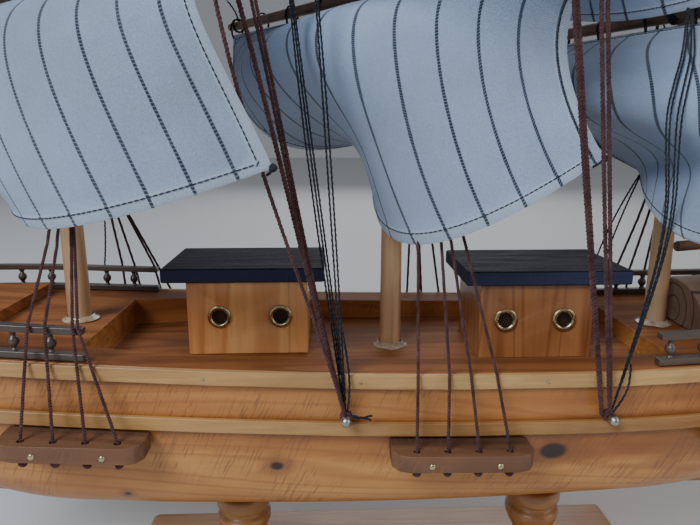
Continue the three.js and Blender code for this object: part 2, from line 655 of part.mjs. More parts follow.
// Jibs under the two foremost stays: start and end of the luff along the stay, and the clew
const JIBS = [
  { name: 'jib_outer', stay: 0, luff: [0.06, 0.66], clew: [-206, RIM + 52], lee: 10 },
  { name: 'jib_inner', stay: 1, luff: [0.07, 0.6], clew: [-184, RIM + 38], lee: 5 },
];
function buildStays() {
  for (const stay of STAYS) {
    const [low, high] = [stay.low, stay.high].map(([x, z]) => [x, 0, z]);
    add(stay.name, rod(low, high, STAY_R, STAY_R, 6), 'cord');
  }
  for (const jib of JIBS) {
    const { low, high } = STAYS[jib.stay];
    const luff = (t) => [low[0] + (high[0] - low[0]) * t + 1.2, low[1] + (high[1] - low[1]) * t - 1.2];
    const [tack, peak] = jib.luff.map(luff);
    const leech = [peak[0] * 0.85 + jib.clew[0] * 0.15 + 2.5, peak[1] * 0.85 + jib.clew[1] * 0.15];
    flatSail(`sail_${jib.name}`, [tack, peak, leech, jib.clew], jib.lee, 2);
  }
}

// Half-round log on the aft deck, lying fore and aft, as the aft cabin
const CABIN = { x: [110, 152], half: 20, tall: 17, wall: 1 };
function buildAftCabin() {
  const arc = Array.from({ length: 9 }, (_, i) => {
    const a = Math.PI * i / 8;
    return [CABIN.half * Math.cos(a), CABIN.wall + (CABIN.tall - CABIN.wall) * Math.sin(a)];
  });
  const outline = [[CABIN.half, 0], ...arc, [-CABIN.half, 0]];
  const rings = [CABIN.x[0], CABIN.x[1]].map((x) => outline.map(([y, z]) => [x, y, rimZ(x) + GAP + z]));
  add('aft_cabin', loft(rings), 'pine');
}

// Stand: base board with bevelled edges and two turned posts under the keel
const KEEL_Z = 46;
function buildStand() {
  const { length, width, thick, bevel } = BASE;
  const ring = (z, inset) => {
    const [x, y] = [length / 2 - inset, width / 2 - inset];
    return [[-x, -y, z], [x, -y, z], [x, y, z], [-x, y, z]];
  };
  add('stand_base', loft([ring(0, 0), ring(thick - bevel, 0), ring(thick, bevel)]), 'tan');
  const foot = thick + GAP;
  const top = KEEL_Z - GAP;
  const tall = top - foot;
  const r = POST_RADIUS;
  const profile = [[0, 0], [r, 0], [r, 0.12], [0.72 * r, 0.2], [0.62 * r, 0.34], [0.85 * r, 0.52],
    [0.98 * r, 0.66], [0.8 * r, 0.78], [0.98 * r, 0.84], [0.98 * r, 0.95], [0.85 * r, 1], [0, 1],
  ].map(([a, h]) => [a, foot + tall * h]);
  POST_X.forEach((x, i) => {
    const post = turned(profile, 20);
    post.translate(x, 0, 0);
    add(`stand_post_${i === 0 ? 'fore' : 'aft'}`, post, 'tan');
  });
}

buildHull();
buildKeel();
buildRudder();
buildForePlank();
buildStrips();
buildHouses();
buildRails();
buildChannels();
buildMasts();
buildSquareSails();
buildSpanker();
buildStays();
buildAftCabin();
buildStand();
export default ship;
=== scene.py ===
import math

import bmesh
import bpy
import numpy as np
from mathutils import Matrix, Vector


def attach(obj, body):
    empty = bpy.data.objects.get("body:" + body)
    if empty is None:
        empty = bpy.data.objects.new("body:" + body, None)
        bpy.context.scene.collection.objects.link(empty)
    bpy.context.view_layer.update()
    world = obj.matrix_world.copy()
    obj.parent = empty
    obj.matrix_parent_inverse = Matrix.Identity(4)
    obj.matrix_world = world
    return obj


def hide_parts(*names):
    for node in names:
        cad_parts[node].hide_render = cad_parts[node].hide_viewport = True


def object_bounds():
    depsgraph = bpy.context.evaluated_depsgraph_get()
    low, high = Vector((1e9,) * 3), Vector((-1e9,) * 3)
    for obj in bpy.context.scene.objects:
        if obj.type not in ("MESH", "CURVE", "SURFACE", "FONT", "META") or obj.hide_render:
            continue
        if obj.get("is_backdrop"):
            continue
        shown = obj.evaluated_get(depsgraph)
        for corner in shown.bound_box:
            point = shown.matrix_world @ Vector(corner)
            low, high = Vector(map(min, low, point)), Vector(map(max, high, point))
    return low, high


# %% [markdown]
# A souvenir sailing ship: a hull carved from pine, turned masts, striped cotton sails, and a stand.
# Blender works in metres and the shop drawing in millimetres, so every length below is multiplied
# by MM.

# %% Load the frame
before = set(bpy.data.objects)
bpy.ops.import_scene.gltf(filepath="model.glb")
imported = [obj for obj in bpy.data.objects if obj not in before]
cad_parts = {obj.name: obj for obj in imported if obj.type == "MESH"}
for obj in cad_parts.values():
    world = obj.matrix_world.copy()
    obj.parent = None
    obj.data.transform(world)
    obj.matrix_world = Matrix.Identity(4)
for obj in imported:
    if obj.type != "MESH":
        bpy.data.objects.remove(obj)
CAD_LOW, CAD_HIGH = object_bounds()
MM = 0.001
RIM_Z = 114     # height of the hull's rim at the main mast, in millimetres
print("the frame holds", len(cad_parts), "nodes")

# %% [markdown]
# The camera comes first, because every later choice is judged through it. It stands close off the
# port side, a little forward of the main mast, and looks slightly down. Its place was solved from
# the deck edges and the deckhouses, which is surer than moving it about by eye.

# %% Camera
CAMERA_PLACE = Vector((-23.6, -219, 187.1)) * MM
CAMERA_DOWN = math.radians(12.45)
CAMERA_TURN = math.radians(-2.14)
LENS_MM = 30.86

camera_data = bpy.data.cameras.new("photo_camera")
camera_data.lens = LENS_MM
camera_data.sensor_width = 36
camera_data.clip_start = 0.01
camera = bpy.data.objects.new("photo_camera", camera_data)
camera.location = CAMERA_PLACE
camera.rotation_euler = (math.pi / 2 - CAMERA_DOWN, 0, CAMERA_TURN)
bpy.context.scene.collection.objects.link(camera)
bpy.context.scene.camera = camera
print("camera at", [round(v, 3) for v in camera.location])

# %% [markdown]
# Soft studio light shows a model best. A small lamp would draw hard shadows of every cord, so big
# square area lights are used: a cool one ahead of the ship on the camera's side, a weaker warm one
# from astern, one from behind, and a plain grey sky that fills the shadows.

# %% Soft lights


def soft_light(name, place, size, power, colour, target=(0, 0, 0.16)):
    """A square area light at place, turned to the target."""
    data = bpy.data.lights.new(name, "AREA")
    data.size = size
    data.energy = power
    data.color = colour
    light = bpy.data.objects.new(name, data)
    light.location = place
    light.rotation_mode = "QUATERNION"
    light.rotation_quaternion = (Vector(target) - Vector(place)).to_track_quat("-Z", "Y")
    bpy.context.scene.collection.objects.link(light)


soft_light("window_light", (-0.7, -0.85, 1.05), 0.6, 17, (0.82, 0.91, 1.0))
soft_light("room_light", (1.2, -0.5, 0.7), 0.8, 4.5, (1.0, 0.90, 0.80))
soft_light("back_light", (0.2, 1.4, 0.9), 1.0, 6, (0.93, 0.97, 1.0))
sky = bpy.data.worlds.new("plain_sky")
sky.use_nodes = True
sky.node_tree.nodes["Background"].inputs["Color"].default_value = (0.80, 0.84, 0.90, 1)
sky.node_tree.nodes["Background"].inputs["Strength"].default_value = 0.27
bpy.context.scene.world = sky
print("three soft lights and a sky")

# %% [markdown]
# The floor is one pale square that reaches far past the view, so no edge shows.

# %% Floor
FLOOR_HALF = 4.0
FLOOR_CORNERS = ((-1, -1), (1, -1), (1, 1), (-1, 1))
floor_mesh = bpy.data.meshes.new("floor")
floor_mesh.from_pydata([(x * FLOOR_HALF, y * FLOOR_HALF, 0) for x, y in FLOOR_CORNERS], [],
                       [(0, 1, 2, 3)])
floor = bpy.data.objects.new("floor", floor_mesh)
bpy.context.scene.collection.objects.link(floor)
floor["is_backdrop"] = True
floor_paint = bpy.data.materials.new("pale_floor")
floor_paint.use_nodes = True
floor_shader = floor_paint.node_tree.nodes["Principled BSDF"]
floor_shader.inputs["Base Color"].default_value = (0.66, 0.66, 0.65, 1)
floor_shader.inputs["Roughness"].default_value = 0.7
floor_mesh.materials.append(floor_paint)
print("floor of", 2 * FLOOR_HALF, "metres")

# %% [markdown]
# A material is a tree of nodes: coordinates go into noises, noises into colours, and colours into
# the shader. Written out in full, each node takes five lines. This helper adds a node, sets its
# plain values by name, and links whatever is given as a socket, so a tree reads like a recipe.

# %% A helper for material trees


class Paint:
    """A material and its node tree, with one Principled shader."""

    def __init__(self, name):
        self.material = bpy.data.materials.new(name)
        self.material.use_nodes = True
        self.tree = self.material.node_tree
        self.shader = self.tree.nodes["Principled BSDF"]
        self.place = self.add("ShaderNodeTexCoord").outputs["Object"]

    def add(self, kind, inputs=None, **settings):
        node = self.tree.nodes.new(kind)
        for key, value in settings.items():
            setattr(node, key, value)
        for key, value in (inputs or {}).items():
            if isinstance(value, bpy.types.NodeSocket):
                self.tree.links.new(value, node.inputs[key])
            else:
                node.inputs[key].default_value = value
        return node

    def stretched(self, scale, turn=(0, 0, 0)):
        """Coordinates in metres, scaled per axis after a turn."""
        turned = self.add("ShaderNodeMapping", {"Vector": self.place, "Rotation": turn})
        return self.add("ShaderNodeMapping", {"Vector": turned.outputs[0], "Scale": scale}).outputs[0]

    def noise(self, place, scale, detail=4.0, roughness=0.55, distortion=0.0):
        return self.add("ShaderNodeTexNoise", {
            "Vector": place, "Scale": scale, "Detail": detail, "Roughness": roughness,
            "Distortion": distortion}).outputs["Fac"]

    def ramp(self, value, stops):
        """Colours along a value, from (position, colour) pairs."""
        node = self.add("ShaderNodeValToRGB", {"Fac": value})
        points = node.color_ramp.elements
        while len(points) < len(stops):
            points.new(0.5)
        for point, (position, colour) in zip(points, stops):
            point.position = position
            point.color = (*colour, 1)
        return node.outputs["Color"]

    def grey(self, value, low, high, dark=0.0, bright=1.0):
        """Maps a value from low..high to dark..bright, held at the ends."""
        return self.add("ShaderNodeMapRange", {
            "Value": value, "From Min": low, "From Max": high, "To Min": dark,
            "To Max": bright}).outputs["Result"]

    def mix(self, fac, one, two, how="MIX"):
        """Colour one, with colour two laid over it by the share fac."""
        node = self.add("ShaderNodeMix", {0: fac}, data_type="RGBA", blend_type=how)
        for key, value in ((6, one), (7, two)):
            if isinstance(value, bpy.types.NodeSocket):
                self.tree.links.new(value, node.inputs[key])
            else:
                node.inputs[key].default_value = (*value, 1)
        return node.outputs[2]

    def math(self, how, one, two=0.0):
        return self.add("ShaderNodeMath", {0: one, 1: two}, operation=how).outputs[0]

    def times(self, one, two):
        return self.math("MULTIPLY", one, two)

    def bump(self, height, distance, strength=1.0):
        return self.add("ShaderNodeBump", {
            "Height": height, "Distance": distance, "Strength": strength}).outputs["Normal"]

    def finish(self, colour, roughness, normal=None, **plain):
        """Connects the shader; plain holds its other sockets, with _ for a space."""
        for key, value in (("Base Color", colour), ("Roughness", roughness), ("Normal", normal)):
            if isinstance(value, bpy.types.NodeSocket):
                self.tree.links.new(value, self.shader.inputs[key])
            elif value is not None:
                self.shader.inputs[key].default_value = value
        for key, value in plain.items():
            self.shader.inputs[key.replace("_", " ")].default_value = value
        return self.material


print("material helper ready")

# %% [markdown]
# Sawn pine shows four things: long streaks, growth rings, knots where a branch grew, and the short
# slanted marks of the band saw. An image would repeat and blur, so each is drawn by noise. Streaks
# are a noise stretched along the board. Rings are the sine of a slow noise, which gives nested
# lines. A knot is a dark spot round a point, its outline moved by the same noise as the streaks.

# %% What wood shows
YEARS = 17                               # rings between the lowest and the highest noise
SAW_SLANT = math.radians(-24)
SAW_MARK = (0.24, 0.095, 0.038)
BRANCH_FORM = (0.7, 0.3, 1.0)            # a branch runs into the hull, so its knot is long that way
BRANCH_CORE, BRANCH_EDGE = (0.035, 0.018, 0.012), (0.22, 0.075, 0.024)


def with_rings(paint, place, colour, dark, share):
    """The colour with growth rings."""
    growth = paint.noise(place, 30, 2.0, 0.45, 0.5)
    years = paint.math("SINE", paint.times(growth, 2 * math.pi * YEARS))
    return paint.mix(paint.times(paint.grey(years, 0.45, 1.0), share), colour, dark)


def with_saw_marks(paint, colour, share):
    """The colour with saw marks, and the marks themselves for the bump."""
    marks = paint.noise(paint.stretched((1.0, 0.12, 0.07), (0, SAW_SLANT, 0)), 1500, 2.0, 0.6)
    where = paint.grey(paint.noise(paint.place, 38, 2.0, 0.5), 0.40, 0.54)
    lines = paint.times(paint.grey(marks, 0.55, 0.62), where)
    return paint.mix(paint.times(lines, share), colour, SAW_MARK), lines


def with_branch(paint, colour, wobble, centre, size):
    """The colour with one knot, its centre and radius in millimetres."""
    spot = tuple(c * form * MM for c, form in zip(centre, BRANCH_FORM))
    away = paint.add("ShaderNodeVectorMath", {0: paint.stretched(BRANCH_FORM), 1: spot},
                     operation="DISTANCE").outputs["Value"]
    away = paint.math("ADD", away, paint.times(paint.math("SUBTRACT", wobble, 0.5), size * 1.2 * MM))
    colour = paint.mix(paint.grey(away, size * MM, size * 2.4 * MM, 0.6, 0.0), colour, BRANCH_EDGE)
    return paint.mix(paint.grey(away, size * 0.6 * MM, size * MM, 1.0, 0.0), colour, BRANCH_CORE)


print("rings, saw marks and branches ready")

# %% [markdown]
# Varnish is a thin clear coat over the grain. It is worn and uneven on a hand-made model, so the
# roughness follows the fibres, and large soft patches make the tone wander along a board.

# %% Varnished wood
ALONG_X, ALONG_Y, ALONG_Z = 0, 1, 2
GRAIN_STRETCH = 0.07                     # how much slower the pattern changes along the grain
PATCHES = [(0.32, (0.78, 0.70, 0.66)), (0.58, (1.0, 1.0, 1.0)), (0.78, (1.10, 1.04, 0.96))]


def wood(name, light, middle, dark, along=ALONG_X, grain=1.0, saw_marks=0.0, roughness=(0.34, 0.52),
         coat=0.35, streaks=0.5, rings=0.0, branches=(), shine=0.5):
    """Varnished wood with its grain along one axis."""
    paint = Paint(name)
    lengthwise = [1.0, 1.0, 1.0]
    lengthwise[along] = GRAIN_STRETCH
    place = paint.stretched(lengthwise)
    bands = paint.noise(place, 55 * grain, 3.0, 0.5, 0.9)
    fibres = paint.noise(place, 700 * grain, 5.0, 0.65)
    colour = paint.ramp(bands, [(0.30, dark), (0.47, middle), (0.62, light), (0.80, middle)])
    colour = paint.mix(streaks, colour, paint.grey(fibres, 0.35, 0.70, 0.80, 1.10), "MULTIPLY")
    if rings:
        colour = with_rings(paint, place, colour, dark, rings)
    patches = paint.ramp(paint.noise(paint.place, 26, 3.0, 0.6), PATCHES)
    colour = paint.mix(0.75, colour, patches, "MULTIPLY")
    height = fibres
    if saw_marks:
        colour, lines = with_saw_marks(paint, colour, saw_marks)
        height = paint.math("SUBTRACT", fibres, lines)
    for centre, size in branches:
        colour = with_branch(paint, colour, bands, centre, size)
    rough = paint.grey(fibres, 0.35, 0.70, *roughness)
    return paint.finish(colour, rough, paint.bump(height, 0.00012, 0.6), Coat_Weight=coat,
                        Coat_Roughness=0.22, Specular_IOR_Level=shine)


print("the grain is stretched", round(1 / GRAIN_STRETCH), "times along the board")

# %% [markdown]
# One maker used many woods: orange pine for the hull and houses, paler strips, darker rails and
# yards, light dowels for the masts. They share one recipe and differ in three tones, in the way of
# the grain and in the varnish. The knots in the hull are given by their places, in the ship's own
# coordinates, so each can be put exactly where a branch once grew.

# %% The ship's woods
BRANCHES = [((-40.5, -45, 81.9), 2.3), ((48.5, -46, 85.8), 3.2), ((-90, -38, 70.3), 1.2),
            ((96, 44, 84), 2.1), ((-118, 30, 78), 1.6)]      # centre and radius
DOWEL = {"grain": 1.6, "roughness": (0.46, 0.64), "coat": 0.12}
PINE = wood("pine_varnished", (0.66, 0.305, 0.085), (0.53, 0.215, 0.052), (0.35, 0.115, 0.028),
            saw_marks=0.6, coat=0.28, rings=0.42, branches=BRANCHES)
DECK = wood("deck_varnished", (0.40, 0.150, 0.046), (0.29, 0.096, 0.028), (0.155, 0.046, 0.014),
            roughness=(0.58, 0.76), coat=0.0, rings=0.5, shine=0.2)
PALE = wood("pale_strip_wood", (0.64, 0.385, 0.150), (0.56, 0.310, 0.112), (0.40, 0.195, 0.062),
            streaks=0.8, roughness=(0.40, 0.58), coat=0.15)
# Both houses are one pine: the fore one is drawn brighter as painted light, and the aft one darker as
# painted shade from the sails.
HOUSE = {
    "fore": wood("fore_house_painted_light", (1.0, 0.53, 0.200), (0.92, 0.41, 0.140), (0.56, 0.190, 0.056),
                 along=ALONG_Z, rings=0.5),
    "aft": wood("aft_house_painted_shade", (0.48, 0.200, 0.070), (0.36, 0.130, 0.042), (0.20, 0.060, 0.020),
                along=ALONG_Z, rings=0.5),
}
RAIL = wood("rail_wood", (0.115, 0.078, 0.058), (0.080, 0.052, 0.040), (0.042, 0.027, 0.022),
            coat=0.4)
CHANNEL = wood("channel_wood", (0.265, 0.130, 0.064), (0.190, 0.088, 0.042), (0.085, 0.036, 0.019),
               roughness=(0.55, 0.75), coat=0.05, saw_marks=0.5, rings=0.5)
SPAR = wood("dowel_wood", (0.66, 0.425, 0.235), (0.54, 0.330, 0.170), (0.30, 0.165, 0.080),
            along=ALONG_Z, **DOWEL)
# The main mast's copy of the dowel wood, brighter as painted light.
SPAR_PAINTED_LIGHT = wood("dowel_wood_painted_light", (0.92, 0.62, 0.37), (0.78, 0.49, 0.27), (0.44, 0.245, 0.120),
                  along=ALONG_Z, **DOWEL)
YARD = wood("yard_wood", (0.280, 0.150, 0.076), (0.200, 0.102, 0.052), (0.105, 0.054, 0.030),
            along=ALONG_Y, **DOWEL)
STAND = wood("stand_wood", (0.50, 0.250, 0.088), (0.41, 0.190, 0.060), (0.27, 0.110, 0.034),
             coat=0.45, rings=0.4)
made = (PINE, DECK, PALE, *HOUSE.values(), RAIL, CHANNEL, SPAR, SPAR_PAINTED_LIGHT, YARD, STAND)
print("woods made:", [m.name for m in made])

# %% [markdown]
# The roofs are brushed with navy paint, nearly black with dry brush marks. The edges are drawn
# bluer than the top as painted light, told apart by the surface's own normal, which holds from
# every side, and small specks stand for chips where the wood shows.

# %% Navy paint
NAVY_TOP = [(0.35, (0.0045, 0.005, 0.009)), (0.70, (0.012, 0.014, 0.026))]
NAVY_PAINTED_LIGHT_EDGE, CHIP = (0.044, 0.052, 0.105), (0.26, 0.24, 0.22)


def roof_paint():
    """Navy paint with brush streaks, speckles and a slight gloss."""
    paint = Paint("navy_paint")
    streaks = paint.noise(paint.stretched((0.10, 1.0, 1.0)), 420, 4.0, 0.6)
    specks = paint.grey(paint.noise(paint.place, 1300, 2.0, 0.5), 0.69, 0.74, 0.0, 0.6)
    colour = paint.mix(specks, paint.ramp(streaks, NAVY_TOP), CHIP)
    # Steep faces turn bluer than the top: painted light by the face's tilt.
    normal = paint.add("ShaderNodeNewGeometry").outputs["Normal"]
    upright = paint.add("ShaderNodeSeparateXYZ", {"Vector": normal}).outputs["Z"]
    colour = paint.mix(paint.times(paint.grey(upright, 0.55, 0.25), 0.8), colour, NAVY_PAINTED_LIGHT_EDGE)
    lumps = paint.noise(paint.place, 420, 4.0, 0.65)
    relief = paint.bump(paint.math("ADD", streaks, lumps), 0.0004, 0.9)
    return paint.finish(colour, paint.grey(streaks, 0.3, 0.7, 0.62, 0.85), relief,
                        Specular_IOR_Level=0.22)


NAVY = roof_paint()
print("made", NAVY.name)

# %% [markdown]
# The portholes are brass eyelets and the pins are steel nails. Metal is one colour with full
# Metallic, and what makes it look handled is the gloss: faint smears change it from place to place.

# %% Brass and steel


def metal(name, colour, roughness):
    """Handled metal with faint smears."""
    paint = Paint(name)
    smears = paint.noise(paint.place, 900, 3.0, 0.6)
    tint = paint.ramp(smears, [(0.3, tuple(c * 0.72 for c in colour)), (0.7, colour)])
    rough = paint.grey(smears, 0.3, 0.7, roughness * 0.7, roughness * 1.4)
    return paint.finish(tint, rough, Metallic=1.0)


BRASS = metal("eyelet_brass", (0.72, 0.60, 0.36), 0.26)
STEEL = metal("nail_steel", (0.52, 0.50, 0.47), 0.34)
print("made", BRASS.name, "and", STEEL.name)

# %% [markdown]
# Every finished piece is added in the same way. Its mesh holds its place and its object stays at
# the origin, it rides on the model's one body, and the CAD nodes it stands for are hidden. Shading is
# smooth up to an angle and sharp beyond it, and a Bevel modifier can break the edges.

# %% Adding a piece
SMOOTH_ANGLE = math.radians(34)
BEVEL_ANGLE = math.radians(32)


def mesh_of(name, points, faces):
    """A mesh from points in metres, doubles merged and faces turned out."""
    made = bpy.data.meshes.new(name)
    made.from_pydata([tuple(p) for p in points], [], faces)
    tidy = bmesh.new()
    tidy.from_mesh(made)
    bmesh.ops.remove_doubles(tidy, verts=tidy.verts, dist=1e-6)
    bmesh.ops.dissolve_degenerate(tidy, edges=tidy.edges, dist=1e-7)
    bmesh.ops.recalc_face_normals(tidy, faces=tidy.faces)
    tidy.to_mesh(made)
    tidy.free()
    return made


def joined(*parts):
    """Several (points, faces) pairs as one pair."""
    points, faces = [], []
    for part_points, part_faces in parts:
        faces += [tuple(i + len(points) for i in face) for face in part_faces]
        points += list(part_points)
    return points, faces


def add_piece(name, mesh, material, slot, stands_for=(), smooth=SMOOTH_ANGLE, bevel=0.0):
    """A shown piece of the ship, on the model's one body."""
    piece = bpy.data.objects.new(name, mesh)
    bpy.context.scene.collection.objects.link(piece)
    mesh.materials.clear()
    mesh.materials.append(material)
    mesh.shade_smooth()
    mesh.set_sharp_from_angle(angle=smooth)
    if bevel:
        rounding = piece.modifiers.new("rounded_edges", "BEVEL")
        rounding.width = bevel
        rounding.segments = 2
        rounding.limit_method = "ANGLE"
        rounding.angle_limit = BEVEL_ANGLE
        rounding.harden_normals = True
    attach(piece, "root")
    if stands_for:
        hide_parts(*stands_for)
    return piece


print("edges sharper than", round(math.degrees(SMOOTH_ANGLE)), "degrees stay sharp")

# %% [markdown]
# The hull is one block of pine, sawn and sanded to shape. Boxes and booleans would leave hard
# corners, so it is lofted through cross sections, as a boat builder draws them: the half breadth at
# the rim, at the bilge and at the flat floor. These helpers read a section at any place, smoothly.

# %% Lines of the hull
SHEER_LOW_X, SHEER_FORE, SHEER_AFT = 60, 0.00015, 0.0003
BOW_X, STERN_X = -206, 175
SECTION_KEYS = ("x", "beam", "bilge", "bilge_z", "floor", "floor_z")
SECTIONS = np.array([
    (BOW_X, 2, 1.6, -14, 1, -22), (-198, 14, 8, -25, 2.5, -36),
    (-185, 26, 16, -34, 5, -47), (-165, 35, 26, -41, 9, -57),
    (-140, 41, 35.5, -46.5, 14, -62), (-119, 42.8, 38.6, -49.4, 17, -63),
    (-90, 44.1, 40.5, -49.2, 18, -62.5), (-60, 45.2, 42, -48.2, 19, -62),
    (0, 46.8, 43.5, -46.4, 19, -61), (60, 46, 42.5, -44.8, 18, -59),
    (100, 43.6, 39.5, -44.2, 15, -58), (140, 38.5, 31, -38.5, 9, -53),
    (STERN_X, 32, 25, -26, 4, -38)])
SIDE_FOOT = -22                          # down to here the side is upright


def rim_z(x):
    """Height of the rim in millimetres."""
    rise = np.where(np.asarray(x) < SHEER_LOW_X, SHEER_FORE, SHEER_AFT)
    return RIM_Z - SHEER_FORE * SHEER_LOW_X ** 2 + rise * (np.asarray(x) - SHEER_LOW_X) ** 2


def section(key, x):
    """One measure of the hull at x, smooth between the sections."""
    xs = SECTIONS[:, 0]
    values = SECTIONS[:, SECTION_KEYS.index(key)]
    i = int(np.clip(np.searchsorted(xs, x), 1, len(xs) - 1))
    before, after = max(0, i - 2), min(len(xs) - 1, i + 1)
    slope_a = (values[i] - values[before]) / (xs[i] - xs[before])
    slope_b = (values[after] - values[i - 1]) / (xs[after] - xs[i - 1])
    width = xs[i] - xs[i - 1]
    t = (x - xs[i - 1]) / width
    return ((2 * t ** 3 - 3 * t ** 2 + 1) * values[i - 1]
            + (t ** 3 - 2 * t ** 2 + t) * width * slope_a
            + (3 * t ** 2 - 2 * t ** 3) * values[i]
            + (t ** 3 - t ** 2) * width * slope_b)


def side_y(x, depth=0):
    """Half breadth of the hull at a depth under the rim."""
    if depth >= SIDE_FOOT:
        return section("beam", x)
    t = min(max((depth - SIDE_FOOT) / (section("bilge_z", x) - SIDE_FOOT), 0), 1)
    return section("beam", x) * (1 - t) + section("bilge", x) * t


print("half breadth at the main mast:", side_y(0), "mm")

# %% [markdown]
# Each section becomes one closed ring: bottom, side, deck and back. Cutting its corners three
# times makes the bilge read as round. The middle of the deck is sunk, which is part of the loft
# too: at its two ends, two stations share one place and make the step. The deck's faces get a
# darker varnish than the sides.

# %% Hull
WELL_FORE_X, WELL_AFT_X, WELL_DEPTH = -105, 91, 7.5
FLOOR_Z = RIM_Z - WELL_DEPTH
WELL_X = (WELL_FORE_X, -82, -60, 0, 60, WELL_AFT_X)
WELL_HALF = (28, 32, 33.5, 34.2, 33.5, 31.5)
CORNER_CUT = 0.22
DECK_ABOVE = 0.100


def rounded(line, rounds=3):
    """Cuts the corners of an open line, its ends held."""
    line = np.asarray(line, float)
    near, far = 1 - CORNER_CUT, CORNER_CUT
    for _ in range(rounds):
        first, last = line[:-1], line[1:]
        cut = np.stack([first * near + last * far, first * far + last * near], 1)
        line = np.vstack([line[:1], cut.reshape(-1, line.shape[1])[1:-1], line[-1:]])
    return line


def hull_ring(x, sunk):
    """One closed section: bottom, starboard side, deck, port side."""
    beam, bilge, floor_half = section("beam", x), section("bilge", x), section("floor", x)
    bilge_z, floor_z = section("bilge_z", x), section("floor_z", x)
    foot = max(SIDE_FOOT, bilge_z * 0.6)
    side = rounded([(beam, 0), (beam, foot), (bilge, bilge_z),
                    ((bilge + floor_half) / 2, (bilge_z + floor_z) / 2), (floor_half, floor_z)])
    half = min(float(np.interp(x, WELL_X, WELL_HALF)), beam * 0.8)
    top = float(rim_z(x))
    deck = FLOOR_Z if sunk else top
    outer = [(y, top + z) for y, z in side[::-1]] + [(half, top), (half, deck), (0, deck)]
    return [(x * MM, y * MM, z * MM) for y, z in outer + [(-y, z) for y, z in outer[-2::-1]]]


def hull_mesh():
    stations = [(x, False) for x in np.linspace(BOW_X, WELL_FORE_X, 34)]
    stations += [(x, True) for x in np.linspace(WELL_FORE_X, WELL_AFT_X, 50)]
    stations += [(x, False) for x in np.linspace(WELL_AFT_X, STERN_X, 30)]
    rings = [hull_ring(x, sunk) for x, sunk in stations]
    count = len(rings[0])
    faces = [tuple(range(count)), tuple(range((len(rings) - 1) * count, len(rings) * count))]
    for i in range(len(rings) - 1):
        for j in range(count):
            k = (j + 1) % count
            faces.append((i * count + j, i * count + k, (i + 1) * count + k, (i + 1) * count + j))
    return mesh_of("hull_carved", [p for ring in rings for p in ring], faces)


hull = add_piece("hull_carved", hull_mesh(), PINE, "hull_wood", ("hull",), bevel=0.5 * MM)
hull.data.materials.append(DECK)
for face in hull.data.polygons:
    if face.normal.z > 0.8 and face.center.z > DECK_ABOVE:
        face.material_index = 1
print("hull faces:", len(hull.data.polygons))

# %% [markdown]
# Boards, strips, houses and roofs are plain sawn pieces, and the CAD already has their shape. What
# it lacks is a broken edge: a razor-sharp one catches no light and makes wood look like plastic. So
# each is a copy of its CAD mesh, with doubles merged and flat faces joined, and then a small bevel.

# %% Boards, strips and houses
SIDES = {"port": -1, "starboard": 1}     # which way each side lies along Y


def worked_copy(node, material, slot, bevel=0.4 * MM):
    """A CAD node's shape with its edges broken by sandpaper."""
    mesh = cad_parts[node].data.copy()
    mesh.name = node + "_worked"
    tidy = bmesh.new()
    tidy.from_mesh(mesh)
    bmesh.ops.remove_doubles(tidy, verts=tidy.verts, dist=2e-6)
    bmesh.ops.dissolve_limit(tidy, angle_limit=math.radians(1), verts=tidy.verts, edges=tidy.edges)
    tidy.to_mesh(mesh)
    tidy.free()
    return add_piece(node + "_worked", mesh, material, slot, (node,), bevel=bevel)


for node in ("keel", "rudder"):
    worked_copy(node, PINE, "hull_wood")
worked_copy("fore_plank", DECK, "deck_wood")
for strip in ("upper_strip", "lower_strip"):
    for side in SIDES:
        worked_copy(f"{strip}_{side}", PALE, "strip_wood", 0.35 * MM)
for mast in ("fore", "main", "mizzen"):
    for side in SIDES:
        worked_copy(f"channel_{mast}_{side}", CHANNEL, "channel_wood")
for house in ("fore", "aft"):
    worked_copy(f"house_{house}", HOUSE[house], "house_wood")
    worked_copy(f"roof_{house}", NAVY, "roof_paint", 0.7 * MM)
worked_copy("stand_base", STAND, "stand", 0.6 * MM)
print("boards, strips, channels, houses, roofs and base done")

# %% [markdown]
# The aft cabin is half of a small log, left rough. Its sawn end shows the whole story of the wood:
# pink-brown end grain with dark rings about the pith. The rings are drawn by the distance from the
# log's axis, split into even steps, with a noise that keeps them from being perfect circles.

# %% Half log
LOG_AXIS_Z, LOG_RING = 120 * MM, 4.6 * MM


def split_log():
    """Rough end grain with growth rings about the log's axis."""
    paint = Paint("split_log")
    across = paint.add("ShaderNodeMapping", {"Vector": paint.place, "Location": (0, 0, -LOG_AXIS_Z),
                                             "Scale": (0, 1, 1)}).outputs[0]
    away = paint.add("ShaderNodeVectorMath", {0: across}, operation="LENGTH").outputs["Value"]
    wobble = paint.times(paint.noise(paint.place, 45, 2.0, 0.5), 0.9)
    count = paint.math("FRACT", paint.math("ADD", paint.math("DIVIDE", away, LOG_RING), wobble))
    from_ring = paint.math("ABSOLUTE", paint.math("SUBTRACT", count, 0.5))
    base = paint.ramp(paint.noise(paint.place, 60, 3.0, 0.6),
                      [(0.3, (0.16, 0.090, 0.055)), (0.7, (0.30, 0.185, 0.125))])
    colour = paint.mix(paint.grey(from_ring, 0.03, 0.10, 0.85, 0.0), base, (0.035, 0.016, 0.010))
    return paint.finish(colour, 0.6, paint.bump(paint.noise(paint.place, 900, 4.0, 0.6), 0.0002, 0.6))


log = worked_copy("aft_cabin", split_log(), "cabin_wood")
print("log faces:", len(log.data.polygons))

# %% [markdown]
# Masts and posts are turned on a lathe. Blender's Screw modifier could spin a profile too, but a
# small function does it in one go and closes the poles: the profile is a list of radius and height
# pairs, from foot to top, that starts and ends on the axis.

# %% A lathe


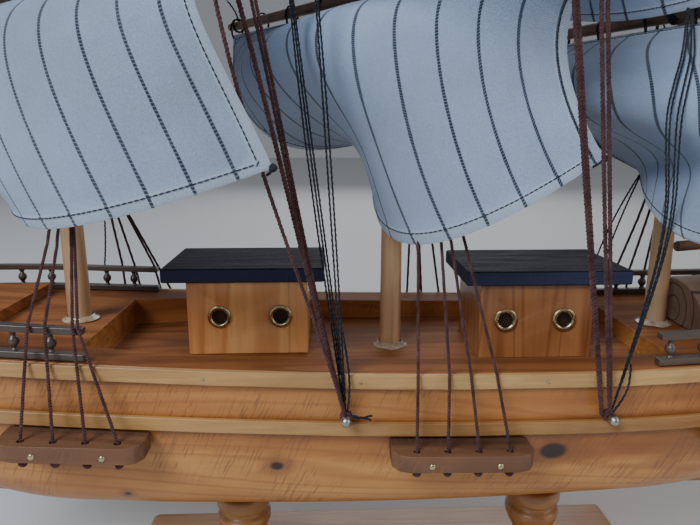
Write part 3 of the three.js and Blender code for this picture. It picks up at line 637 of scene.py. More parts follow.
def lathe(profile, sides=48, centre=(0, 0), rounds=0):
    """Points and faces of a turned piece, its profile in millimetres."""
    line = rounded(profile, rounds) if rounds else np.asarray(profile, float)
    x, y = centre
    points = [(x * MM, y * MM, line[0][1] * MM)]
    for r, z in line[1:-1]:
        points += [((x + r * math.cos(a)) * MM, (y + r * math.sin(a)) * MM, z * MM)
                   for a in np.linspace(0, 2 * math.pi, sides, endpoint=False)]
    points.append((x * MM, y * MM, line[-1][1] * MM))
    rings, faces = len(line) - 2, []
    for j in range(sides):
        k = (j + 1) % sides
        faces.append((0, 1 + k, 1 + j))
        for i in range(rings - 1):
            a, b = 1 + i * sides, 1 + (i + 1) * sides
            faces.append((a + j, a + k, b + k, b + j))
        last = 1 + (rings - 1) * sides
        faces.append((last + j, last + k, len(points) - 1))
    return points, faces


print("a cone of 8 sides has", len(lathe([(0, 0), (1, 0), (0, 1)], 8)[1]), "faces")

# %% [markdown]
# A mast is a long dowel, tapered by hand and capped with a small turned button. The main mast's
# dowel is drawn paler as painted light. Each stands a hair above the deck, as in the CAD.

# %% Masts
MASTS = {
    "fore": {"x": -116.5, "foot": 4.2, "head": 2.6, "top": 272},
    "main": {"x": 0.0, "foot": 4.0, "head": 2.6, "top": 288},
    "mizzen": {"x": 103.0, "foot": 4.0, "head": 2.4, "top": 238},
}
GAP = 0.3        # what the CAD leaves between two pieces
# added to the head's radius, and down from the top
MAST_CAP = [(0.5, -5.2), (0.9, -3.6), (0.7, -2.4), (-0.2, -0.6)]


def deck_z(x):
    return FLOOR_Z if WELL_FORE_X < x < WELL_AFT_X else float(rim_z(x))


def mast_radius(mast, height):
    return mast["foot"] + (mast["head"] - mast["foot"]) * height / mast["top"]


for name, mast in MASTS.items():
    top, r, foot = RIM_Z + mast["top"], mast["head"], deck_z(mast["x"]) + GAP
    body = [(0, foot), (mast["foot"] - 0.3, foot), (mast["foot"], foot + 0.4)]
    body += [(mast_radius(mast, z - RIM_Z), z) for z in np.linspace(foot + 6, top - 6.5, 24)]
    body += [(r + more, top + down) for more, down in MAST_CAP] + [(r * 0.5, top - 0.1), (0, top)]
    mesh = mesh_of(f"mast_{name}", *lathe(body, centre=(mast["x"], 0)))
    # The main mast takes the brighter copy, which is painted light.
    add_piece(f"mast_{name}_turned", mesh, SPAR_PAINTED_LIGHT if name == "main" else SPAR, "spar_wood",
              (f"mast_{name}",))
    print(name, "mast", round(top - foot), "mm tall")

# %% [markdown]
# The stand's two posts have a foot, a waist and rings, like the legs of cheap furniture. Their
# outline is given as shares of radius and height, so a post can be made thicker or taller at will.

# %% Posts of the stand
POST_X = {"fore": -58.5, "aft": 60}
BASE_TOP, KEEL_Z = 12, 46
POST_RADIUS, POST_FOOT, POST_TALL = 11, BASE_TOP + GAP, KEEL_Z - BASE_TOP - 2 * GAP
POST_OUTLINE = [(0, 0), (1, 0), (1, 0.10), (0.94, 0.14), (0.74, 0.17), (0.66, 0.24), (0.62, 0.34),
                (0.70, 0.44), (0.85, 0.52), (0.98, 0.64), (0.97, 0.70), (0.80, 0.75), (0.80, 0.79),
                (0.98, 0.82), (0.98, 0.95), (0.88, 1), (0, 1)]
for name, x in POST_X.items():
    profile = [(r * POST_RADIUS, POST_FOOT + h * POST_TALL) for r, h in POST_OUTLINE]
    mesh = mesh_of(f"post_{name}", *lathe(profile, 56, (x, 0), rounds=2))
    add_piece(f"post_{name}_turned", mesh, STAND, "stand", (f"stand_post_{name}",))
print("posts", round(POST_TALL, 1), "mm tall")

# %% [markdown]
# The bowsprit, the yards, the gaff and the boom are sticks between two points. `bar` turns one on
# the lathe, upright at the origin, and then swings it round into its place. A cylinder would do from
# afar, but its hard round edge at the end is what gives a computer's stick away.

# %% Sticks and the bowsprit
BOWSPRIT_X, BOWSPRIT_RISE = (-171, -292), math.radians(19)
STEM_X = -204


def bar(ends, radii, sides=28):
    """A round stick with softened ends between two points, in millimetres."""
    start, end = (np.asarray(p, float) for p in ends)
    way = end - start
    length = float(np.linalg.norm(way))
    grow = [(0, 0), (radii[0] * 0.8, 0), (radii[0], 0.5)]
    grow += [(radii[0] + (radii[1] - radii[0]) * t, 0.5 + (length - 1) * t)
             for t in np.linspace(0, 1, 10)[1:]]
    grow += [(radii[1] * 0.8, length), (0, length)]
    points, faces = lathe(grow, sides)
    turn = Vector((0, 0, 1)).rotation_difference(Vector(way)).to_matrix()
    return [turn @ Vector(p) + Vector(start) * MM for p in points], faces


def bowsprit_z(x):
    return float(rim_z(STEM_X)) + 3 + (STEM_X - x) * math.tan(BOWSPRIT_RISE)


ends = [(x, 0, bowsprit_z(x)) for x in BOWSPRIT_X]
mesh = mesh_of("bowsprit_turned", *bar(ends, (3.6, 2.2), 40))
add_piece("bowsprit_turned", mesh, SPAR, "spar_wood", ("bowsprit",))
print("the bowsprit rises to", round(ends[1][2]), "mm")

# %% [markdown]
# An eyelet is thin brass, rolled over at the rim. A torus would look like a curtain ring, so the
# real profile is spun instead: up the inside of the barrel, over the rolled flange and back. The
# lip then catches the light as the real one does.

# %% Eyelets
EYELET_X = {"fore": (-63, -41), "aft": (39.3, 60.3)}
EYELET_WALL_Y = {"fore": -9.4, "aft": -17}
EYELET_Z = FLOOR_Z + 14.6
EYELET_PROFILE = [(2.6, -2.1), (3.3, -2.1), (3.3, 0.32), (4.0, 0.32), (4.22, 0.42), (4.25, 0.58),
                  (4.05, 0.8), (3.6, 0.92), (3.1, 0.84), (2.75, 0.55), (2.6, 0.1)]


def ring(profile, sides=48):
    """A band spun round the Y axis; its profile is a loop of radius and height towards -Y."""
    points, faces = [], []
    for a in np.linspace(0, 2 * math.pi, sides, endpoint=False):
        points += [(r * math.cos(a) * MM, -h * MM, r * math.sin(a) * MM) for r, h in profile]
    n = len(profile)
    for i in range(sides):
        a, b = i * n, ((i + 1) % sides) * n
        faces += [(a + j, a + (j + 1) % n, b + (j + 1) % n, b + j) for j in range(n)]
    return points, faces


def porthole_place(house, x):
    return Matrix.Translation(Vector((x, EYELET_WALL_Y[house], EYELET_Z)) * MM)


for house, places in EYELET_X.items():
    for i, x in enumerate(places, 1):
        mesh = mesh_of(f"eyelet_{house}_{i}", *ring(EYELET_PROFILE))
        mesh.transform(porthole_place(house, x))
        add_piece(f"eyelet_{house}_{i}_rolled", mesh, BRASS, "brass", (f"eyelet_{house}_{i}",),
                  math.radians(60))
print("four eyelets rolled,", 2 * max(r for r, _ in EYELET_PROFILE), "mm wide")

# %% [markdown]
# Geometry Nodes does what repeats or follows a path: balusters, cords, knots and stitches. This
# helper builds a node group with named inputs. Each group takes a mesh of edges as its paths, and
# ends with Realize Instances and Set Material, so that what comes out is real geometry.

# %% A helper for node groups


class Growth:
    """A Geometry Nodes group that turns a mesh of edges into pieces along it."""

    def __init__(self, name, **inputs):
        self.group = bpy.data.node_groups.new(name, "GeometryNodeTree")
        kinds = {float: "NodeSocketFloat", int: "NodeSocketInt"}
        new = self.group.interface.new_socket
        new("Paths", in_out="INPUT", socket_type="NodeSocketGeometry")
        new("Result", in_out="OUTPUT", socket_type="NodeSocketGeometry")
        for label, value in inputs.items():
            new(label, in_out="INPUT", socket_type=kinds[type(value)]).default_value = value
        new("Finish", in_out="INPUT", socket_type="NodeSocketMaterial")
        self.source = self.group.nodes.new("NodeGroupInput").outputs

    def add(self, kind, inputs=None, **settings):
        plain = kind.startswith(("Shader", "Function"))
        node = self.group.nodes.new(kind if plain else "GeometryNode" + kind)
        for key, value in settings.items():
            setattr(node, key, value)
        for key, value in (inputs or {}).items():
            if isinstance(value, bpy.types.NodeSocket):
                self.group.links.new(value, node.inputs[key])
            else:
                node.inputs[key].default_value = value
        return node

    def math(self, how, one, two=0.0):
        return self.add("ShaderNodeMath", {0: one, 1: two}, operation=how).outputs[0]

    def scaled(self, vector, by):
        node = self.add("ShaderNodeVectorMath", {0: vector, "Scale": by}, operation="SCALE")
        return node.outputs[0]

    def even_path(self, step):
        """The paths as curves, with points at the even step of a named input."""
        curve = self.add("MeshToCurve", {"Mesh": self.source["Paths"]}).outputs["Curve"]
        return self.add("ResampleCurve", {"Curve": curve, "Length": self.source[step]},
                        mode="LENGTH").outputs["Curve"]

    def circle(self, points):
        node = self.add("CurvePrimitiveCircle", {"Resolution": points, "Radius": 1.0})
        return node.outputs["Curve"]

    def end(self, geometry):
        real = self.add("RealizeInstances", {0: geometry}).outputs[0]
        painted = self.add("SetMaterial", {"Geometry": real, "Material": self.source["Finish"]})
        self.group.links.new(painted.outputs[0], self.group.nodes.new("NodeGroupOutput").inputs[0])
        return self.group


print("node group helper ready")

# %% [markdown]
# `grow` runs a group. It makes an object from the paths, adds the group as a modifier, sets its
# inputs by their identifiers, and keeps the evaluated result as a plain mesh. The object with the
# modifier is thrown away, so nothing in a finished piece is still live.

# %% Running a node group


def paths_mesh(name, paths):
    """A mesh of edge chains from lists of points in millimetres."""
    points, edges = [], []
    for path in paths:
        start = len(points)
        points += [tuple(np.asarray(p, float) * MM) for p in path]
        edges += [(i, i + 1) for i in range(start, len(points) - 1)]
    made = bpy.data.meshes.new(name)
    made.from_pydata(points, edges, [])
    return made


def grow(name, group, paths, values, material, slot, stands_for=(), smooth=SMOOTH_ANGLE):
    """Runs a group on paths and keeps the result as a plain piece."""
    carrier = bpy.data.objects.new(name + "_paths", paths_mesh(name + "_paths", paths))
    bpy.context.scene.collection.objects.link(carrier)
    modifier = carrier.modifiers.new("growth", "NODES")
    modifier.node_group = group
    for item in group.interface.items_tree:
        if item.name in values:
            modifier[item.identifier] = values[item.name]
        if item.name == "Finish":
            modifier[item.identifier] = material
    graph = bpy.context.evaluated_depsgraph_get()
    mesh = bpy.data.meshes.new_from_object(carrier.evaluated_get(graph), depsgraph=graph)
    mesh.name = name
    bpy.data.objects.remove(carrier)
    return add_piece(name, mesh, material, slot, stands_for, smooth)


print("groups can be run")

# %% [markdown]
# A baluster is a short turned pin with one bulb. Dozens of them stand under the rails, so one is
# made and set on every point. In the node group its outline is a Float Curve: the height along the
# pin goes in and the radius comes out, and the pins stand at even steps along the rail.

# %% Baluster group
PIN_OUTLINE = [(0, 0.62), (0.08, 0.62), (0.13, 0.42), (0.22, 0.50), (0.36, 0.92), (0.48, 1.0),
               (0.60, 0.90), (0.74, 0.50), (0.82, 0.42), (0.87, 0.62), (1, 0.62)]
PIN_STEPS, PIN_SIDES = 22, 14


def baluster_group():
    grown = Growth("balusters", Spacing=0.011, Height=0.0066, Radius=0.0017)
    spots = grown.even_path("Spacing")
    top = grown.add("ShaderNodeCombineXYZ", {"Z": grown.source["Height"]}).outputs[0]
    line = grown.add("CurvePrimitiveLine", {"End": top}).outputs["Curve"]
    steps = grown.add("ResampleCurve", {"Curve": line, "Count": PIN_STEPS}).outputs["Curve"]
    share = grown.add("SplineParameter").outputs["Factor"]
    shape = grown.add("ShaderNodeFloatCurve", {"Value": share})
    outline = shape.mapping.curves[0]
    while len(outline.points) < len(PIN_OUTLINE):
        outline.points.new(0.5, 0.5)
    for point, place in zip(outline.points, PIN_OUTLINE):
        point.location = place
    shape.mapping.update()
    wide = grown.math("MULTIPLY", shape.outputs["Value"], grown.source["Radius"])
    pin = grown.add("CurveToMesh", {"Curve": steps, "Profile Curve": grown.circle(PIN_SIDES),
                                    "Scale": wide, "Fill Caps": True})
    pins = grown.add("InstanceOnPoints", {"Points": spots, "Instance": pin.outputs["Mesh"]})
    return grown.end(pins.outputs["Instances"])


BALUSTERS = baluster_group()
print("group made:", BALUSTERS.name)

# %% [markdown]
# The rails fore and aft are two flat bars with the balusters between them. They follow the curve of
# the rim, so each bar is a chain of small boxes whose corners come from the hull's own lines.

# %% Rails
RAIL_X = {"fore": (-190, -98.5), "aft": (81, 172)}
RAIL_INSET, RAIL_WIDTH, RAIL_FOOT, RAIL_TALL, RAIL_BAR = 2.4, 3.4, 2.6, 11, 2.2
PIN_SPACING, PIN_INSET, PIN_SUNK = 11, 4, 0.25


def rail_line(x, sign, height):
    return (x, sign * (side_y(x) - RAIL_INSET), float(rim_z(x)) + height)


def rail_bar(start, end, sign, low, high):
    """A flat bar that follows the rim, as points and faces."""
    half = RAIL_WIDTH / 2
    points, faces = [], []
    for x in np.linspace(start, end, 40):
        _, y, z = rail_line(x, sign, 0)
        points += [(x * MM, (y + dy) * MM, (z + dz) * MM) for dy, dz in
                   ((-half, low), (half, low), (half, high), (-half, high))]
    last = len(points) - 4
    for i in range(0, last, 4):
        faces += [(i + j, i + (j + 1) % 4, i + 4 + (j + 1) % 4, i + 4 + j) for j in range(4)]
    return points, faces + [(3, 2, 1, 0), (last, last + 1, last + 2, last + 3)]


for rail, (start, end) in RAIL_X.items():
    for side, sign in SIDES.items():
        name = f"rail_{rail}_{side}"
        bars = joined(rail_bar(start, end, sign, GAP, RAIL_FOOT),
                      rail_bar(start, end, sign, RAIL_TALL - RAIL_BAR, RAIL_TALL))
        add_piece(f"{name}_bars", mesh_of(f"{name}_bars", *bars), RAIL, "rail_wood", (name,),
                  bevel=0.35 * MM)
        count = int((end - 2 - start - PIN_INSET) // PIN_SPACING)
        xs = [start + PIN_INSET + k * PIN_SPACING for k in range(count + 1)]
        grow(f"{name}_balusters", BALUSTERS, [[rail_line(x, sign, RAIL_FOOT - PIN_SUNK) for x in xs]],
             {"Height": (RAIL_TALL - RAIL_BAR - RAIL_FOOT + 2 * PIN_SUNK) * MM}, RAIL, "rail_wood")
        print(name, "with", len(xs), "pins")

# %% [markdown]
# The sails are cotton ticking: bluish white, with dark broken stripes that run from yard to foot.
# An image could not bend with the cloth, so stripes and twill are drawn from the cloth's own
# coordinates: X is the way from the port edge, Y the way from the head, and Z the way to the
# nearest edge, which finds the hem. A stripe is a row of slanted dashes, as it is part of the twill.

# %% Sailcloth
STRIPE_PITCH, STRIPE_HALF = 10.8, 0.44
DASH_PITCH, DASH_SLANT = 0.9, 1.6
TWILL_DOWN, TWILL_ACROSS = 0.62, 0.5
HEM_WIDE = 3.5
COTTON_TONES = [(0.30, (0.37, 0.445, 0.58)), (0.50, (0.425, 0.535, 0.73)),
                (0.72, (0.465, 0.59, 0.81))]
HEM_TONE, STRIPE_TONE = (0.64, 0.71, 0.82), (0.014, 0.022, 0.045)


def woven_stripe(paint, across, down):
    """1 on a dark stripe of the cloth, 0 beside it, with slanted dashes along it."""
    count = paint.math("DIVIDE", across, STRIPE_PITCH * MM)
    near = paint.math("ABSOLUTE", paint.math("SUBTRACT", paint.math("FRACT", count), 0.5))
    away = paint.times(paint.math("SUBTRACT", 0.5, near), STRIPE_PITCH * MM)
    wander = paint.grey(paint.noise(paint.place, 240, 3.0, 0.6), 0.3, 0.7, 0.85, 1.15)
    inside = paint.math("SUBTRACT", paint.times(wander, STRIPE_HALF * MM), away)
    slant = paint.math("SUBTRACT", paint.math("DIVIDE", down, DASH_PITCH * MM),
                       paint.math("DIVIDE", across, DASH_SLANT * MM))
    wave = paint.math("SINE", paint.times(slant, 2 * math.pi))
    dash = paint.grey(wave, -0.95, -0.30, 0.55, 1.0)
    stripe = paint.times(paint.grey(inside, -0.1 * MM, 0.1 * MM), dash)
    worn = paint.grey(paint.noise(paint.place, 90, 2.0, 0.5), 0.3, 0.6, 0.92, 1.0)
    return paint.times(stripe, worn)


def sailcloth():
    paint = Paint("striped_cotton")
    flat = paint.add("ShaderNodeAttribute", attribute_name="cloth").outputs["Vector"]
    parts = paint.add("ShaderNodeSeparateXYZ", {"Vector": flat}).outputs
    across, down = parts["X"], parts["Y"]
    stripe = woven_stripe(paint, across, down)
    cotton = paint.ramp(paint.noise(paint.place, 22, 4.0, 0.6), COTTON_TONES)
    hem = paint.grey(parts["Z"], (HEM_WIDE - 0.1) * MM, (HEM_WIDE + 0.3) * MM, 1.0, 0.0)
    cotton = paint.mix(paint.times(hem, 0.5), cotton, HEM_TONE)
    twill = paint.math("ADD", paint.math("DIVIDE", down, TWILL_DOWN * MM),
                       paint.math("DIVIDE", across, TWILL_ACROSS * MM))
    ribs = paint.math("SINE", paint.times(twill, 2 * math.pi))
    cotton = paint.mix(0.5, cotton, paint.grey(ribs, -1.0, 1.0, 0.82, 1.08), "MULTIPLY")
    threads = paint.noise(paint.place, 2200, 2.0, 0.5)
    colour = paint.mix(0.45, paint.mix(stripe, cotton, STRIPE_TONE),
                       paint.grey(threads, 0.30, 0.70, 0.72, 1.14), "MULTIPLY")
    relief = paint.bump(paint.math("ADD", ribs, paint.times(threads, 1.5)), 0.00009, 0.8)
    return paint.finish(colour, 0.93, relief, Sheen_Weight=0.2, Sheen_Roughness=0.5)


COTTON = sailcloth()
print("sailcloth made, stripes every", STRIPE_PITCH, "mm")

# %% [markdown]
# Every yard hangs in front of its mast, and its braces have swung it round. A table holds them all,
# so that one loop can make yards and sails alike. A lower sail, the course, has its own form. An
# upper sail takes the ends of the yard below as its clews and only says how much it swells. The
# two arms of a yard are given to starboard first, then to port.

# %% Yards
YARDS = {
    "fore_course": {
        "mast": "fore", "z": 116, "swing": 45, "arms": (95, 101), "r": 2.4,
        "clews": ((-6, 43, 67.5), (79.5, -69.5, 64)), "foot": (-27, -39, -18),
        "edges": ((-25, -5, -17), (-4, 1, 6)), "middle": (3.5, -12, 15.5),
        "fold": -7, "tuck": (-3, -4, -1), "hollow": -3},
    "fore_topsail": {
        "mast": "fore", "z": 186, "swing": 43, "arms": (72, 74), "r": 2.1,
        "below": "fore_course", "swell": 32},
    "fore_topgallant": {
        "mast": "fore", "z": 242, "swing": 41, "arms": (52, 54), "r": 1.8,
        "below": "fore_topsail", "swell": 17},
    "main_course": {
        "mast": "main", "z": 118.6, "swing": 39.1, "arms": (99, 89), "r": 2.4,
        "clews": ((7.3, 59.5, 74.9), (58.1, -42.4, 64.9)), "foot": (-33.6, -35.4, -31.9),
        "edges": ((-14.8, -46.2, -25.3), (-13.0, 18.9, 16.2)), "middle": (-12.4, -0.7, 17.3),
        "fold": -8.5, "tuck": (5.1, -5.4, 11.4), "hollow": 7.1},
    "main_topsail": {
        "mast": "main", "z": 192, "swing": 38, "arms": (76, 72), "r": 2.1,
        "below": "main_course", "swell": 34},
    "main_topgallant": {
        "mast": "main", "z": 252, "swing": 37, "arms": (55, 53), "r": 1.8,
        "below": "main_topsail", "swell": 25},
    "mizzen_course": {
        "mast": "mizzen", "z": 112.2, "swing": 24.2, "arms": (69, 69), "r": 2.9,
        "clews": ((3.1, 24.6, 58.1), (34.4, -59.7, 49.5)), "foot": (-42.6, -41.2, -11.2),
        "edges": ((-11, -18.9, -9.6), (-7.3, -14.9, 0.2)), "middle": (-9.3, 7.7, -1.8),
        "fold": -29.2, "tuck": (-0.7, 19.4, 8.3), "hollow": 9.7},
    "mizzen_topsail": {
        "mast": "mizzen", "z": 178, "swing": 22, "arms": (53, 53), "r": 1.9,
        "below": "mizzen_course", "swell": 12, "form": {"foot": 0.1, "hang": 10}},
}
UP = np.array([0, 0, 1.0])
YARD_TAPER = 0.7


def yard_frame(yard):
    """Middle of a yard, its direction to port and the direction in which its sail swells."""
    mast, swing = MASTS[yard["mast"]], math.radians(yard["swing"])
    along = np.array([math.sin(swing), -math.cos(swing), 0])
    ahead = np.array([-math.cos(swing), -math.sin(swing), 0])
    off = mast_radius(mast, yard["z"]) + yard["r"] + GAP
    return np.array([mast["x"], 0, RIM_Z + yard["z"]]) + ahead * off, along, ahead


def yard_stick(yard):
    """A yard as two tapered halves that meet at the mast."""
    middle, along, _ = yard_frame(yard)
    ends = [middle + along * sign * arm for sign, arm in zip((-1, 1), yard["arms"])]
    return joined(*(bar([middle, end], (yard["r"], yard["r"] * YARD_TAPER)) for end in ends))


print(len(YARDS), "yards, the longest", max(sum(yard["arms"]) for yard in YARDS.values()), "mm")

# %% [markdown]
# A square sail is one surface between four corners. Its head runs straight under the yard, the
# foot and the two edges swell, and the middle swells a little more. A cloth simulation would not
# stop at a given shape, so the surface is a rule: u runs from the starboard edge to the port one, v
# from the yard to the foot, and each swell is a small hill over that square. The CAD follows the
# same rule, so cloth and solid lie in one place.

# %% Shape of a square sail
CLOTH_CAD = 1.2           # thickness of the cloth in the CAD model
HEAD_INSET = 3
CLEW_INSET, CLEW_AHEAD, CLEW_ABOVE = 9, 6, 9
UPPER_FORM = {"foot": 1, "edge": 0.35, "middle": 0.35, "hang": 3}     # shares of the swell, then mm
TUCK_PEAK, HOLLOW_PEAK = 45.6, 6.75      # these bring each hill's top to 1
FOLD_PEAK, BELLY_PEAK = 1.5, 16


def sail_shape(yard):
    """Corners and swells of a sail, starboard before port."""
    middle, along, ahead = yard_frame(yard)
    under = UP * (-yard["r"] - GAP - CLOTH_CAD)
    head = [middle + along * sign * (arm - HEAD_INSET) + under
            for sign, arm in zip((-1, 1), yard["arms"])]
    if "clews" in yard:
        foot = np.array([MASTS[yard["mast"]]["x"], 0, RIM_Z])
        return {"head": head, "clews": [foot + c for c in yard["clews"]],
                "foot": np.array(yard["foot"]), "edges": [np.array(e) for e in yard["edges"]],
                "middle": np.array(yard["middle"]), "fold": yard["fold"],
                "tuck": np.array(yard["tuck"]), "hollow": yard["hollow"]}
    below = YARDS[yard["below"]]
    low, low_along, low_ahead = yard_frame(below)
    clews = [low + low_along * sign * (arm - CLEW_INSET) + low_ahead * CLEW_AHEAD + UP * CLEW_ABOVE
             for sign, arm in zip((-1, 1), below["arms"])]
    swell = ahead * yard["swell"]
    form = {**UPPER_FORM, **yard.get("form", {})}
    return {"head": head, "clews": clews, "foot": swell * form["foot"] - UP * form["hang"],
            "edges": [swell * form["edge"]] * 2, "middle": swell * form["middle"], "fold": 0,
            "tuck": np.zeros(3), "hollow": 0}


def columns_of(u, v):
    """u and v as arrays with one more axis, ready for sums with points."""
    return np.broadcast_arrays(np.asarray(u, float)[..., None], np.asarray(v, float)[..., None])


def sail_points(shape, u, v):
    """Points of a square sail, in millimetres."""
    u, v = columns_of(u, v)
    across, down = 4 * u * (1 - u), 4 * v * (1 - v)
    top = shape["head"][0] * (1 - u) + shape["head"][1] * u
    low = shape["clews"][0] * (1 - u) + shape["clews"][1] * u
    point = top * (1 - v) + low * v + shape["foot"] * across * v + shape["middle"] * across * down
    point = point + shape["edges"][0] * (1 - u) * down + shape["edges"][1] * u * down
    point = point + shape["tuck"] * TUCK_PEAK * u * (1 - u) ** 2 * v ** 2 * (1 - v)
    point[..., :1] += shape["fold"] * FOLD_PEAK * (1 - u) * across * np.sin(2 * np.pi * v)
    point[..., :1] += shape["hollow"] * HOLLOW_PEAK * u * v * (1 - v) ** 2
    return point


print("foot of the main course at its middle:",
      np.round(sail_points(sail_shape(YARDS["main_course"]), 0.5, 1.0), 1))

# %% [markdown]
# The surface becomes cloth with a front, a back and a border. Cotton is thin, and it is twice as
# thick where it is folded over for the hem, so rows and columns stand close together at the edges.
# The sheet also stores its flat coordinates in an attribute, measured along the cloth itself.

# %% Cloth from a surface
CLOTH_HALF, HEM_HALF = 0.30, 0.52        # half the thickness of the cloth and of the folded hem
HEM_STEPS = np.array([0, 0.35, 2.0, HEM_WIDE - 0.35, HEM_WIDE + 0.1])


def normals(points, u, v, step=0.002):
    """Unit normals of a surface function at u and v."""
    across = points(u + step, v) - points(u - step, v)
    down = points(u, v + step) - points(u, v - step)
    out = np.cross(across, down)
    return out / np.linalg.norm(out, axis=-1, keepdims=True)


def hemmed(length, count):
    """Shares of a length, with close steps at both ends where the cloth is folded over."""
    inner = np.linspace(HEM_STEPS[-1], length - HEM_STEPS[-1], count)[1:-1]
    return np.concatenate([HEM_STEPS, inner, length - HEM_STEPS[::-1]]) / length


def flat_coordinates(middle, edge, first, pitch):
    """For each point of a grid: the way from the first stripe, from the head and to the edge."""
    steps = np.linalg.norm(np.diff(middle, axis=1), axis=-1)[:, ::-1]
    from_port = np.cumsum(np.pad(steps, ((0, 0), (1, 0))), axis=1)[:, ::-1]
    drops = np.linalg.norm(np.diff(middle, axis=0), axis=-1)
    from_head = np.cumsum(np.pad(drops, ((1, 0), (0, 0))), axis=0)
    from_stripe = (from_port - first) * STRIPE_PITCH / pitch
    return np.stack([from_stripe, from_head, edge], -1).reshape(-1, 3) * MM


def cloth_mesh(name, points, wide, tall, columns, rows, stripes):
    """A hemmed sheet of cloth with two faces and a border."""
    u, v = np.meshgrid(hemmed(wide, columns), hemmed(tall, rows))
    middle, out = points(u, v), normals(points, u, v)
    edge = np.minimum(np.minimum(u, 1 - u) * wide, np.minimum(v, 1 - v) * tall)
    half = np.where(edge < HEM_WIDE - 0.1, HEM_HALF, CLOTH_HALF)
    half = np.where(edge < 0.2, HEM_HALF * 0.75, half)[..., None]
    front, back = (middle + out * half) * MM, (middle - out * half) * MM
    grid = np.arange(u.size).reshape(u.shape)
    quads = np.stack([grid[:-1, :-1], grid[:-1, 1:], grid[1:, 1:], grid[1:, :-1]], -1).reshape(-1, 4)
    faces = [tuple(q) for q in quads.tolist()] + [tuple(q[::-1]) for q in (quads + u.size).tolist()]
    border = np.concatenate([grid[0, :-1], grid[:-1, -1], grid[-1, :0:-1], grid[:0:-1, 0]])
    for a, b in zip(border.tolist(), np.roll(border, -1).tolist()):
        faces.append((b, a, a + u.size, b + u.size))
    made = bpy.data.meshes.new(name)
    made.from_pydata(np.concatenate([front.reshape(-1, 3), back.reshape(-1, 3)]).tolist(), [], faces)
    tidy = bmesh.new()
    tidy.from_mesh(made)
    bmesh.ops.recalc_face_normals(tidy, faces=tidy.faces)
    tidy.to_mesh(made)
    tidy.free()
    flat = flat_coordinates(middle, edge, *stripes)
    made.attributes.new("cloth", "FLOAT_VECTOR", "POINT").data.foreach_set(
        "vector", np.concatenate([flat, flat]).ravel())
    return made


print("the hem is", HEM_WIDE, "mm wide")

# %% [markdown]
# One function sews any sail. It measures the surface first, because the hem's width and the
# sheet's flat size are real lengths. For four sails the first stripe and the stripes' pitch are
# given, since no two sails were cut from the same place of the cloth.

# %% Square sails
STRIPES = {"fore_course": (8.8, 10.8), "main_course": (3.4, 12.0), "mizzen_course": (9.6, 12.1),
           "mizzen_topsail": (13.4, 15.3)}       # first stripe from the port edge, and pitch
PLAIN_STRIPES = (6.0, STRIPE_PITCH)
SMOOTH_CLOTH = math.radians(50)
SHEETS = {}


def surface_size(points, count=40):
    """Largest width, largest height and area of a surface, in millimetres."""
    u, v = np.meshgrid(np.linspace(0, 1, count), np.linspace(0, 1, count))
    p = points(u, v)
    wide = np.linalg.norm(np.diff(p, axis=1), axis=-1).sum(1)
    tall = np.linalg.norm(np.diff(p, axis=0), axis=-1).sum(0)
    a, b = p[1:, 1:] - p[:-1, :-1], p[1:, :-1] - p[:-1, 1:]
    area = np.linalg.norm(np.cross(a, b), axis=-1).sum() / 2
    return float(wide.max()), float(tall.max()), float(area)


def sew_sail(name, points, columns, rows):
    """A sail of striped cotton on a surface function."""
    wide, tall, area = surface_size(points)
    stripes = STRIPES.get(name, PLAIN_STRIPES)
    mesh = cloth_mesh(f"sail_{name}_cloth", points, wide, tall, columns, rows, stripes)
    sail = add_piece(f"sail_{name}_cloth", mesh, COTTON, "sailcloth", (f"sail_{name}",), SMOOTH_CLOTH)
    SHEETS[name] = (sail, (wide, tall), area, points)
    print(name, "flat", round(wide), "x", round(tall), "mm, area", round(area / 100), "cm2")


for name, yard in YARDS.items():
    shape = sail_shape(yard)
    sew_sail(name, lambda u, v, shape=shape: sail_points(shape, u, v), 52, 40)
    mesh = mesh_of(f"yard_{name}_turned", *yard_stick(yard))
    add_piece(f"yard_{name}_turned", mesh, YARD, "spar_wood", (f"yard_{name}",))

# %% [markdown]
# Behind the mizzen mast hangs the spanker, between gaff and boom, and before the fore mast two jibs
# run on stays. They are flat cuts in the ship's middle plane that belly a little to one side, so
# four corners and one hill are enough. A stay is a taut line, and a jib's corners lie along it.

# %% Spanker and jibs
GAFF = {"from": (108.2, 132), "to": (160, 160), "r": 1.8}
BOOM = {"from": (108.2, 30), "to": (196, 36), "r": 2.0}
SPAR_EDGE, SPANKER_BELLY, JIB_BELLY = 2.8, 7, 2
STAY_LIFT, STAY_OFF = 3.4, 1.2


def stay_foot(x):
    """A point tied on top of the bowsprit."""
    return (x, bowsprit_z(x) + STAY_LIFT)


STAYS = {
    "outer_jib": (stay_foot(-285), (-119.9, RIM_Z + 264)),
    "inner_jib": (stay_foot(-248), (-120.9, RIM_Z + 132)),
    "main": ((-112.6, RIM_Z + 198), (-3.4, RIM_Z + 276)),
    "mizzen": ((4, RIM_Z + 140), (99.8, RIM_Z + 226)),
}
JIBS = {"outer": {"luff": (0.06, 0.66), "clew": (-206, RIM_Z + 52), "lee": 10},
        "inner": {"luff": (0.07, 0.6), "clew": (-184, RIM_Z + 38), "lee": 5}}


def flat_cut(name, corners, lee, belly, columns, rows):
    """A fore-and-aft sail from its four corners, first edge first."""
    a, b, c, d = (np.array([x, 0, z], float) for x, z in corners)

    def points(u, v):
        u, v = columns_of(u, v)
        p = (a * (1 - u) + b * u) * (1 - v) + (d * (1 - u) + c * u) * v
        p[..., 1:2] += lee * v + belly * BELLY_PEAK * u * (1 - u) * v * (1 - v)
        return p

    sew_sail(name, points, columns, rows)


def off(point, dx, dz):
    return (point[0] + dx, RIM_Z + point[1] + dz)


